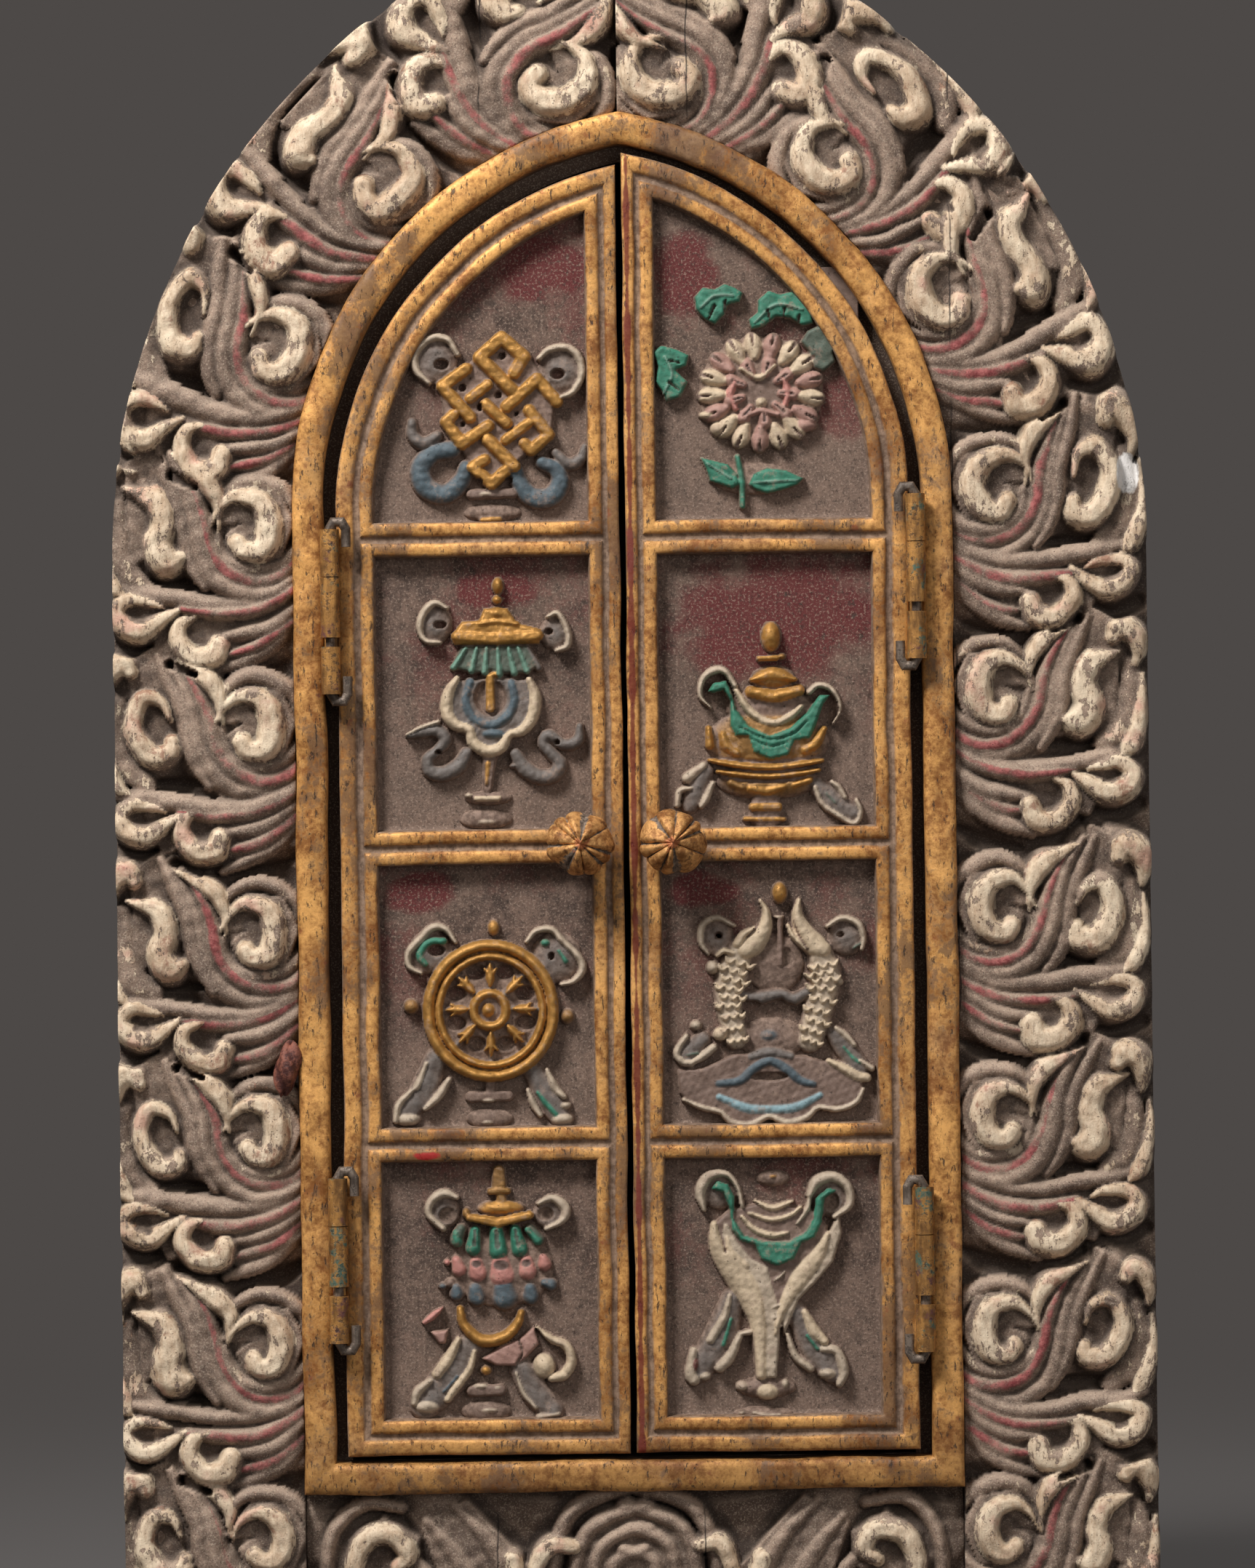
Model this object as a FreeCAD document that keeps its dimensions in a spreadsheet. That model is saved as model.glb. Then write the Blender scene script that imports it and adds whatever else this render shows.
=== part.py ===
"""A carved and gilded altar cabinet: an arched front panel with a pointed window, two
panelled doors on wire-pin hinges, and a shallow plank case behind. Millimetres, +Z up,
the front faces -Y, and the origin is on the floor under the middle of the cabinet."""

import FreeCAD, Part
import math
import os

import Sketcher

doc = FreeCAD.newDocument("AltarCabinet")
sheet = doc.addObject("Spreadsheet::Sheet", "Sizes")


class Size:
    """A number together with the expression that the document works it out from."""

    def __init__(self, number, text):
        self.number = float(number)
        self.text = text

    def __add__(self, other):
        other = as_size(other)
        return Size(self.number + other.number, f"({self.text} + {other.text})")

    def __sub__(self, other):
        other = as_size(other)
        return Size(self.number - other.number, f"({self.text} - {other.text})")

    def __mul__(self, other):
        other = as_size(other)
        return Size(self.number * other.number, f"({self.text} * {other.text})")

    def __truediv__(self, other):
        other = as_size(other)
        return Size(self.number / other.number, f"({self.text} / {other.text})")

    def __radd__(self, other):
        return as_size(other) + self

    def __rsub__(self, other):
        return as_size(other) - self

    def __rmul__(self, other):
        return as_size(other) * self

    def __neg__(self):
        return Size(-self.number, f"(-1 * {self.text})")

    def root(self):
        return Size(math.sqrt(self.number), f"sqrt({self.text})")

    def cosine(self):
        return Size(math.cos(self.number), f"cos({self.text} * 1 rad)")

    def sine(self):
        return Size(math.sin(self.number), f"sin({self.text} * 1 rad)")


def as_size(value):
    """A plain number used beside named sizes, such as the 2 of a half."""
    if isinstance(value, Size):
        return value
    return Size(value, f"({value})")


rows = 0


def size(alias, number, note):
    """One driving dimension: a row of the sheet with its name, value and meaning."""
    global rows
    rows += 1
    sheet.set(f"A{rows}", note)
    sheet.set(f"B{rows}", str(number))
    sheet.setAlias(f"B{rows}", alias)
    return Size(number, f"Sizes.{alias}")


def bind(thing, prop, value):
    """Sets a property now and ties it to the sheet for later changes."""
    value = as_size(value)
    if "." not in prop:
        setattr(thing, prop, value.number)
    thing.setExpression(prop, value.text)


# Driving sizes of the carved front panel
panel_width = size("PanelWidth", 330, "width of the front panel across its straight sides")
panel_spring = size("PanelSpring", 358, "height at which the panel's sides start to curve")
panel_radius = size("PanelArchRadius", 215, "radius of each half of the panel's pointed arch")
panel_thick = size("PanelThickness", 24, "thickness of the panel at the carving's ground")
joint_one = size("BoardJointOne", -46, "first glue joint between the panel's boards")
joint_two = size("BoardJointTwo", 20, "second glue joint")
edge_margin = size("EdgeBoardMargin", 0.3, "third glue joint, beyond the rim's outer edge")

# Driving sizes of the window and its gilded rim
window_shift = size("WindowShift", -2.3, "the window's centre line, off the panel's own")
opening_half = size("OpeningHalf", 95, "half the width between the rim's jambs")
sill_top = size("SillTop", 69, "height of the sill's upper face")
rim_face = size("RimFace", 10, "width of the rim as seen from the front")
rim_depth = size("RimDepth", 15, "how far the rim stands out from the panel's ground")
rim_chamfer = size("RimChamfer", 2.6, "bevel along the rim's front edges")
rim_spring = size("RimSpring", 373, "height at which the jambs start to curve")
rim_radius = size("RimArchRadius", 117, "inner radius of each half of the rim's arch")
panel_lip = size("PanelLip", 5, "how far the panel reaches in behind the doors as a stop")

# Driving sizes of the two door leaves
door_setback = size("DoorSetback", 1, "door face behind the rim's face")
door_stop_gap = size("DoorStopGap", 0.5, "air between a closed door and the panel's lip")
side_gap = size("DoorSideGap", 4, "air between a door and its jamb")
centre_gap = size("DoorCentreGap", 1.6, "air between the two doors")
sill_gap = size("DoorSillGap", 2.2, "air between the doors and the sill")
left_top_gap = size("LeftTopGap", 6.5, "air over the left door, which has dropped")
right_top_gap = size("RightTopGap", 2.5, "air over the right door")
hinge_border = size("HingeBorder", 5.5, "plain border along the door's hinged edge")
meeting_border = size("MeetingBorder", 3.6, "plain border along the doors' meeting edges")
foot_border = size("FootBorder", 5.0, "plain border along the door's foot")
groove_width = size("GrooveWidth", 2, "width of the groove round each panel's bead")
groove_depth = size("GrooveDepth", 1.4, "depth of that groove")
bead_face = size("BeadFace", 4.5, "width of the bead round each panel")
recess_depth = size("RecessDepth", 6, "how deep the panels are sunk")
meeting_bevel = size("MeetingBevel", 2, "how far a meeting edge is planed back behind its face")
level_one = size("LevelOne", 170, "height of the groove over the lowest panel")
level_two = size("LevelTwo", 264.5, "height of the groove over the second panel")
level_three = size("LevelThree", 362.5, "height of the groove over the third panel")

# Driving sizes of the case
case_width = size("CaseWidth", 216, "outer width of the plank case")
case_board = size("CaseBoard", 8, "thickness of the case's planks")
case_depth = size("CaseDepth", 42, "depth of the case behind the panel")
case_top = size("CaseTop", 500, "height of the case")
floor_top = size("FloorTop", 68, "height of the cabinet's floor inside")
back_thick = size("BackThickness", 7, "thickness of the back boards")
back_gap = size("BackBoardGap", 0.4, "shrinkage gap between the back boards")

# Driving sizes of the knobs
knob_radius = size("KnobRadius", 11.1, "radius of a knob's head")
knob_reach = size("KnobReach", 20, "from the door's face to a knob's tip")
knob_neck = size("KnobNeck", 4.5, "radius of a knob's neck")
knob_neck_length = size("KnobNeckLength", 4.5, "length of a knob's straight neck")
knob_from_edge = size("KnobFromEdge", 13.9, "knob's centre from the door's meeting edge")
knob_height = size("KnobHeight", 265, "height of the knobs' centres")
knob_under = size("KnobUnder", 4.4, "how far the head is cut back under its widest place")
knob_shoulder = size("KnobShoulder", 3, "inset of the long slope round a knob's crown")
knob_shoulder_run = size("KnobShoulderRun", 8.5, "length of that slope along the knob")
knob_brow = size("KnobBrow", 2.8, "size of the short slope round a knob's tip")
knob_valley = size("KnobValley", 0.87, "radius between two lobes, as a share of the lobes' own")
knob_lobes = size("KnobLobes", 9, "number of lobes round a knob")

# Driving sizes of the carving on the front boards and in the door panels
volute_height = size("VoluteHeight", 11, "how far the volutes stand out from the ground")
scroll_height = size("ScrollHeight", 9, "how far the leaves, lobes and cups stand out")
fan_height = size("FanHeight", 8, "how far the carving under the sill stands out")
scroll_line = size("ScrollLine", 14, "distance of the volutes' centres from the rim")
root_depth = size("RootDepth", 1, "how deep a raised form runs into what carries it")
emblem_height = size("EmblemHeight", 5, "how far the emblems stand up in their panels")
carving_unit = size("CarvingUnit", 1, "unit of the carving's tables of outlines and places")

# Driving sizes of the hinges
pin_radius = size("PinRadius", 1.5, "radius of a hinge's wire pin")
pin_clearance = size("PinClearance", 0.08, "air round the pin in the middle knuckle")
knuckle_radius = size("KnuckleRadius", 3.1, "outer radius of the rolled knuckles")
end_knuckle = size("EndKnuckle", 15, "length of a hinge's upper and lower knuckles")
mid_knuckle = size("MidKnuckle", 19, "length of a hinge's middle knuckle")
knuckle_rest = size("KnuckleRest", 0.3, "air over the middle knuckle")
knuckle_drop = size("KnuckleDrop", 3, "gap under the middle knuckle, where the pin shows")
knuckle_stand = size("KnuckleStand", 0.3, "air between the knuckles and the rim's face")
leaf_plate = size("LeafPlate", 1, "thickness of the hinges' plates")
leaf_reach = size("LeafReach", 9, "how far the plates reach in behind the door's face")
hook_reach = size("HookReach", 5.3, "how far the pin's bent ends reach over the door")
hook_drop = size("HookDrop", 5.6, "how far the pin's bent ends turn back")
left_upper = size("LeftUpperHinge", 366, "top of the left door's upper hinge")
left_lower = size("LeftLowerHinge", 160, "top of the left door's lower hinge")
right_upper = size("RightUpperHinge", 375, "top of the right door's upper hinge")
right_lower = size("RightLowerHinge", 155, "top of the right door's lower hinge")

doc.recompute()

# Depths that follow from those, measured along Y from the panel's ground
face_to_tip = rim_depth - door_setback + knob_reach
ground = (face_to_tip - (panel_thick + case_depth + back_thick)) / 2
rim_front = ground - rim_depth
door_front = rim_front + door_setback
door_thick = rim_depth - door_setback - door_stop_gap
panel_back = ground + panel_thick
case_back = panel_back + case_depth

# Arch centres: each half of a pointed arch is struck from beyond the middle
panel_half = panel_width / 2
joint_three = window_shift + opening_half + rim_face + edge_margin
panel_centre = panel_radius - panel_half
rim_centre = rim_radius - opening_half


def ogive_rise(radius, centre):
    """Height of a pointed arch over its springing line."""
    return (radius * radius - centre * centre).root()


ZERO = Size(0, "0")


def plain_sketch(body, name, role):
    """A sketch on one of the body's own origin planes."""
    sketch = body.newObject("Sketcher::SketchObject", name)
    plane = next(f for f in body.Origin.OriginFeatures if f.Role == role)
    sketch.AttachmentSupport = [(plane, "")]
    sketch.MapMode = "FlatFace"
    return sketch


def sketch_on(body, name, front):
    """A sketch facing the viewer, on the plane at depth front of the body."""
    sketch = plain_sketch(body, name, "XZ_Plane")
    bind(sketch, "AttachmentOffset.Base.z", -as_size(front))
    return sketch


def hold(sketch, kind, geometry, point, value):
    """Ties one coordinate of a sketch point to the sheet."""
    value = as_size(value)
    number = sketch.addConstraint(
        Sketcher.Constraint(kind, -1, 1, geometry, point, value.number)
    )
    sketch.setExpression(f"Constraints[{number}]", value.text)


def draw_loop(sketch, corners):
    """A closed loop. Each corner is (x, z) or (x, z, centre), where centre is the centre of
    the arc that leads from that corner to the next one. The corner where an arc ends holds
    only its x or only its height, since the arc gives the other."""
    first = sketch.GeometryCount
    count = len(corners)
    points = [
        FreeCAD.Vector(as_size(c[0]).number, as_size(c[1]).number, 0) for c in corners
    ]
    for i, corner in enumerate(corners):
        start, end = points[i], points[(i + 1) % count]
        if len(corner) == 2:
            sketch.addGeometry(Part.LineSegment(start, end), False)
            continue
        middle = FreeCAD.Vector(
            as_size(corner[2][0]).number, as_size(corner[2][1]).number, 0
        )
        radius = (start - middle).Length
        angles = [math.atan2(p.y - middle.y, p.x - middle.x) for p in (start, end)]
        turn = (angles[1] - angles[0]) % (2 * math.pi)
        circle = Part.Circle(middle, FreeCAD.Vector(0, 0, 1), radius)
        if turn > math.pi:
            angles.reverse()
        sketch.addGeometry(Part.ArcOfCircle(circle, *angles), False)
    for i in range(count):
        here, after = first + i, first + (i + 1) % count
        leaving = 3 - ends(sketch, here, points[i])
        entering = ends(sketch, after, points[(i + 1) % count])
        sketch.addConstraint(Sketcher.Constraint("Coincident", here, leaving, after, entering))
    for i, corner in enumerate(corners):
        point = ends(sketch, first + i, points[i])
        before = corners[i - 1]
        beside = above = True
        if len(before) == 3:
            middle = FreeCAD.Vector(
                as_size(before[2][0]).number, as_size(before[2][1]).number, 0
            )
            arm = points[i] - middle
            beside = abs(arm.x) < abs(arm.y)
            above = not beside
        if beside:
            hold(sketch, "DistanceX", first + i, point, corner[0])
        if above:
            hold(sketch, "DistanceY", first + i, point, corner[1])
        if len(corner) == 3:
            hold(sketch, "DistanceX", first + i, 3, corner[2][0])
            hold(sketch, "DistanceY", first + i, 3, corner[2][1])


def ends(sketch, geometry, point):
    """Whether a loop's segment starts (1) or ends (2) at a point: arcs may run backwards."""
    curve = sketch.Geometry[geometry]
    return 1 if (curve.StartPoint - point).Length < 1e-6 else 2


def pad(body, name, sketch, depth):
    """Material from the sketch's plane back along +Y."""
    feature = body.newObject("PartDesign::Pad", name)
    feature.Profile = sketch
    feature.Reversed = True
    bind(feature, "Length", depth)
    sketch.Visibility = False
    return feature


def pocket(body, name, sketch, depth):
    """A cut from the sketch's plane back along +Y."""
    feature = body.newObject("PartDesign::Pocket", name)
    feature.Profile = sketch
    bind(feature, "Length", depth)
    sketch.Visibility = False
    return feature


def body_named(name):
    body = doc.addObject("PartDesign::Body", name)
    body.Label = name
    return body


def place(thing, x, y, z):
    """Puts a piece's own origin at a point."""
    for axis, value in zip("xyz", (x, y, z)):
        bind(thing, f"Placement.Base.{axis}", value)


def bind_turn(thing, turn):
    """Turns a piece in the plane of the front, about +Y, by an angle in radians."""
    degrees = turn * (180 / math.pi)
    around = FreeCAD.Rotation(FreeCAD.Vector(0, 1, 0), degrees.number)
    thing.Placement = FreeCAD.Placement(FreeCAD.Vector(), around)
    bind(thing, "Placement.Rotation.Angle", degrees)


def block(name, low, high):
    """A plank between two corners."""
    box = doc.addObject("Part::Box", name)
    box.Label = name
    for prop, a, b in zip(("Length", "Width", "Height"), low, high):
        bind(box, prop, as_size(b) - a)
    place(box, *low)
    return box


def upright(name, x, y, low, high, radius):
    """A round bar standing along Z."""
    bar = doc.addObject("Part::Cylinder", name)
    bar.Label = name
    bind(bar, "Radius", radius)
    bind(bar, "Height", as_size(high) - low)
    place(bar, x, y, low)
    return bar


def fuse(name, shapes):
    """Several shapes as one solid."""
    joined = doc.addObject("Part::MultiFuse", name)
    joined.Label = name
    joined.Shapes = shapes
    joined.Refine = True
    return joined


def cut(name, base, tool):
    """One shape less another."""
    rest = doc.addObject("Part::Cut", name)
    rest.Label = name
    rest.Base = base
    rest.Tool = tool
    return rest


def common(name, base, tool):
    """What two shapes share."""
    shared = doc.addObject("Part::MultiCommon", name)
    shared.Label = name
    shared.Shapes = [base, tool]
    return shared


def outline_of(points, x, z, side=1):
    """The corners of a form, from a table in carving units across and up from a point."""
    return [(x + carving_unit * across * side, z + carving_unit * up) for across, up in points]


parts = {}


def keep(thing):
    """Marks a finished piece, which is written under its label."""
    parts[thing.Label] = thing
    return thing


# The front panel: a pointed arch of edge-glued boards with the window cut through
def arched_slab(name, front, depth):
    """A slab with the panel's whole outline, from a depth back."""
    body = body_named(name)
    outline = sketch_on(body, f"{name}_outline", front)
    apex = panel_spring + ogive_rise(panel_radius, panel_centre)
    draw_loop(
        outline,
        [
            (-panel_half, ZERO),
            (panel_half, ZERO),
            (panel_half, panel_spring, (-panel_centre, panel_spring)),
            (ZERO, apex, (panel_centre, panel_spring)),
            (-panel_half, panel_spring),
        ],
    )
    pad(body, f"{name}_pad", outline, depth)
    return body


def panel_blank():
    body = arched_slab("panel_blank", ground, panel_thick)
    window = sketch_on(body, "window_outline", ground)
    lip_radius = rim_radius - panel_lip
    top = rim_spring + ogive_rise(lip_radius, rim_centre)
    left = window_shift - opening_half + panel_lip
    right = window_shift + opening_half - panel_lip
    draw_loop(
        window,
        [
            (left, sill_top),
            (right, sill_top),
            (right, rim_spring, (window_shift - rim_centre, rim_spring)),
            (window_shift, top, (window_shift + rim_centre, rim_spring)),
            (left, rim_spring),
        ],
    )
    pocket(body, "window_cut", window, panel_thick)
    return body


# Runs of the volutes' centres from the floor, up each jamb and on round the arch
LEFT_RUNS = (44.8, 107.1, 174.4, 237.9, 303.9, 367.4, 425.7, 488.9, 553)
RIGHT_RUNS = (44.8, 108.4, 176.9, 242.9, 312.6, 377.4, 441.9, 497.8, 558)

# Main forms of one scroll, across from the rim and up from the volute's centre
VOLUTE = [(24, 2), (16, 12), (5, 10), (0.5, 1), (5, -9), (17, -11), (20, -3), (11, 3)]
SWEEP = [(37, 20), (35, -8), (20, -25), (0.5, -23), (0.5, -12), (18, -14), (27, 4)]
LOBE = [(43, 25), (52, 20), (50, -10), (40, -4)]
UPPER_CUP = [(47, -28), (42, -39), (33, -36), (36, -27)]
LOWER_CUP = [(27, -28), (25, -40), (15, -42), (15, -32)]

# Main forms under the sill, across from the window's centre line and up from the floor
HALF_FAN = [(8, 52), (19, 42), (21, 20), (12, 20), (7, 36)]
FAN = HALF_FAN + [(-across, up) for across, up in reversed(HALF_FAN)]
SIDE_CURL = [(79, 16), (90, 30), (90, 44), (80, 50), (70, 44), (72, 34), (80, 37)]
SPRAY = [(54, 55), (67, 48), (53, 8), (42, 12), (31, 30)]
FOOT_CUP = [(60, 5), (71, 10), (68, 20), (58, 16)]
FAN_CUP = [(24, 4), (36, 5), (34, 14), (26, 13)]


def scroll(word, side):
    """The raised forms of one scroll, drawn from the rim's outer edge at the volute's level."""
    body = body_named(f"scroll_{word}")
    body.AllowCompound = True
    for name, height, forms in (
        ("volute", volute_height, [VOLUTE]),
        ("leaves", scroll_height, [SWEEP, LOBE, UPPER_CUP, LOWER_CUP]),
    ):
        sketch = sketch_on(body, f"scroll_{word}_{name}", -height)
        for form in forms:
            draw_loop(sketch, outline_of(form, ZERO, ZERO, side))
        pad(body, f"scroll_{word}_{name}_pad", sketch, height + root_depth)
    return body


def scroll_band(word, side, runs):
    """One scroll after another up the jamb and round the arch, as far as the middle."""
    unit = scroll(word, side)
    copies = []
    outer = rim_radius + rim_face
    half_outer = opening_half + rim_face
    for number, units in enumerate(runs, 1):
        run = carving_unit * units
        copy = doc.addObject("App::Link", f"scroll_{word}_{number}")
        copy.setLink(unit)
        if run.number < rim_spring.number:
            place(copy, window_shift + half_outer * side, ground, run)
        else:
            turn = (run - rim_spring) / (outer + scroll_line)
            centre = window_shift - rim_centre * side
            bind_turn(copy, -turn * side)
            x = centre + outer * side * turn.cosine()
            place(copy, x, ground, rim_spring + outer * turn.sine())
        copies.append(copy)
    low, high = (-panel_half, window_shift) if side < 0 else (window_shift, panel_half)
    half = block(
        f"scroll_{word}_half",
        (low, ground - volute_height, ZERO),
        (high, ground + root_depth, panel_spring + panel_radius),
    )
    return common(f"scroll_{word}_band", fuse(f"scroll_{word}_all", copies), half)


def fan_band():
    """The carving under the sill: a fan in the middle and its side forms mirrored about it."""
    body = body_named("fan_band")
    body.AllowCompound = True
    sketch = sketch_on(body, "fan_outline", ground - fan_height)
    draw_loop(sketch, outline_of(FAN, window_shift, ZERO))
    for side in (-1, 1):
        for form in (SIDE_CURL, SPRAY, FOOT_CUP, FAN_CUP):
            draw_loop(sketch, outline_of(form, window_shift, ZERO, side))
    pad(body, "fan_pad", sketch, fan_height + root_depth)
    return body


def carved_blank():
    """The panel with the carving's main forms on its front, before it is sawn into boards.
    Nothing of the carving reaches past the panel's own outline."""
    bands = [scroll_band("left", -1, LEFT_RUNS), scroll_band("right", 1, RIGHT_RUNS), fan_band()]
    room = arched_slab("carving_room", ground - volute_height, volute_height + root_depth)
    return fuse("carved_blank", [panel_blank(), common("carving", fuse("bands", bands), room)])


def panel_boards(blank):
    """Saws the blank at its glue joints. The joint that the window crosses leaves one piece
    over it, the crown board, and one under it, the sill board."""
    front = ground - rim_depth
    top = panel_spring + panel_radius
    strips = [
        ("left_board", -panel_half, joint_one, ZERO, top),
        ("sill_board", joint_one, joint_two, ZERO, panel_spring),
        ("crown_board", joint_one, joint_two, panel_spring, top),
        ("right_board", joint_two, joint_three, ZERO, top),
        ("edge_board", joint_three, panel_half, ZERO, top),
    ]
    for name, x0, x1, z0, z1 in strips:
        strip = block(f"{name}_strip", (x0, front, z0), (x1, panel_back, z1))
        keep(common(name, blank, strip))


# The gilded rim: straight jambs, a sill, and two sawn quarters that meet at the point
def bevelled_front(body, feature):
    """Bevels the long front edges of a moulding and leaves its sawn ends square."""
    doc.recompute()
    names = []
    for number, edge in enumerate(feature.Shape.Edges, 1):
        box = edge.BoundBox
        in_front = abs(box.YMin - rim_front.number) < 1e-6 and box.YLength < 1e-6
        if in_front and edge.Length > 2 * rim_face.number:
            names.append(f"Edge{number}")
    bevel = body.newObject("PartDesign::Chamfer", f"{body.Label}_bevel")
    bevel.Base = (feature, names)
    bind(bevel, "Size", rim_chamfer)


def jamb(name, side):
    inner = window_shift + opening_half * side
    outer = inner + rim_face * side
    body = body_named(name)
    outline = sketch_on(body, f"{name}_outline", rim_front)
    foot = sill_top - rim_face
    draw_loop(
        outline,
        [(inner, foot), (outer, foot), (outer, rim_spring), (inner, rim_spring)],
    )
    bevelled_front(body, pad(body, f"{name}_pad", outline, rim_depth))
    return keep(body)


def sill():
    body = body_named("rim_sill")
    outline = sketch_on(body, "sill_outline", rim_front)
    left = window_shift - opening_half
    right = window_shift + opening_half
    foot = sill_top - rim_face
    draw_loop(outline, [(left, foot), (right, foot), (right, sill_top), (left, sill_top)])
    bevelled_front(body, pad(body, "sill_pad", outline, rim_depth))
    return keep(body)


def arch_half(name, side):
    body = body_named(name)
    outline = sketch_on(body, f"{name}_outline", rim_front)
    centre = (window_shift - rim_centre * side, rim_spring)
    inner = window_shift + opening_half * side
    outer = inner + rim_face * side
    low_point = rim_spring + ogive_rise(rim_radius, rim_centre)
    high_point = rim_spring + ogive_rise(rim_radius + rim_face, rim_centre)
    draw_loop(
        outline,
        [
            (inner, rim_spring, centre),
            (window_shift, low_point),
            (window_shift, high_point, centre),
            (outer, rim_spring),
        ],
    )
    bevelled_front(body, pad(body, f"{name}_pad", outline, rim_depth))
    return keep(body)


# The case: planks behind the panel that carry the floor, the top and the back boards
def case():
    half = case_width / 2
    inner = half - case_board
    keep(block("case_side_left", (-half, panel_back, ZERO), (-inner, case_back, case_top)))
    keep(block("case_side_right", (inner, panel_back, ZERO), (half, case_back, case_top)))
    keep(
        block(
            "case_floor",
            (-inner, panel_back, floor_top - case_board),
            (inner, case_back, floor_top),
        )
    )
    keep(
        block(
            "case_roof",
            (-inner, panel_back, case_top - case_board),
            (inner, case_back, case_top),
        )
    )
    third = case_width / 3
    for number, name in enumerate(("back_board_left", "back_board_middle", "back_board_right")):
        low = -half + third * number
        keep(
            block(
                name,
                (low + back_gap / 2, case_back, ZERO),
                (low + third - back_gap / 2, case_back + back_thick, case_top),
            )
        )


# Main forms of the emblems, from each emblem's own centre
KNOT = [[(2, 26), (20, 7), (12, -11), (-1, -21), (-18, 3), (-17, 11)]]
LOTUS = [[(20, 6), (11, 18), (-7, 18), (-17, 7), (-16, -8), (-7, -16), (11, -16), (20, -6)]]
BANNER = [[(-15, 2), (-9, 20), (1, 27), (10, 20), (14, -4), (5, -11), (-2, -17), (-14, -6)]]
VASE = [[(-18, -6), (-12, 6), (-7, 16), (0, 30), (8, 16), (12, 6), (18, -6), (12, -21), (-13, -21)]]
WHEEL = [
    [(8, 23), (19, 12), (19, -4), (8, -15), (-8, -15), (-19, -4), (-19, 12), (-8, 23)],
    [(6, 17), (-6, 17), (-13, 10), (-13, -2), (-6, -9), (6, -9), (13, -2), (13, 10)],
    [(5, 7), (0, 11), (-5, 7), (-5, 1), (0, -3), (5, 1)],
]
FISHES = [
    [(-7, 18), (-14, 21), (-18, 6), (-16, -8), (-11, -13), (-9, 6)],
    [(8, 18), (14, 21), (18, 6), (16, -8), (11, -13), (9, 6)],
    [(-30, -20), (-12, -16), (10, -16), (28, -21), (24, -33), (-27, -32)],
]
PARASOL = [[(-9, 29), (12, 29), (18, 9), (14, -6), (2, -15), (-10, -8), (-15, 8)]]
CONCH = [[(-18, 20), (-12, 2), (-6, -9), (-4, -28), (0, -28), (7, -5), (19, 14), (14, 26), (-12, 26)]]

# Each door's emblems from the foot up: how far the centre lies beside the panel's middle and
# above the groove under the panel, and the emblem's outlines
EMBLEMS = {
    "door_left": [
        (1.6, 41.3, PARASOL), (1.0, 38.4, WHEEL), (3.0, 46.6, BANNER), (5.5, 38.6, KNOT),
    ],
    "door_right": [
        (-1.6, 44.0, CONCH), (1.2, 42.8, FISHES), (1.2, 38.9, VASE), (-2.2, 44.8, LOTUS),
    ],
}


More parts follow.
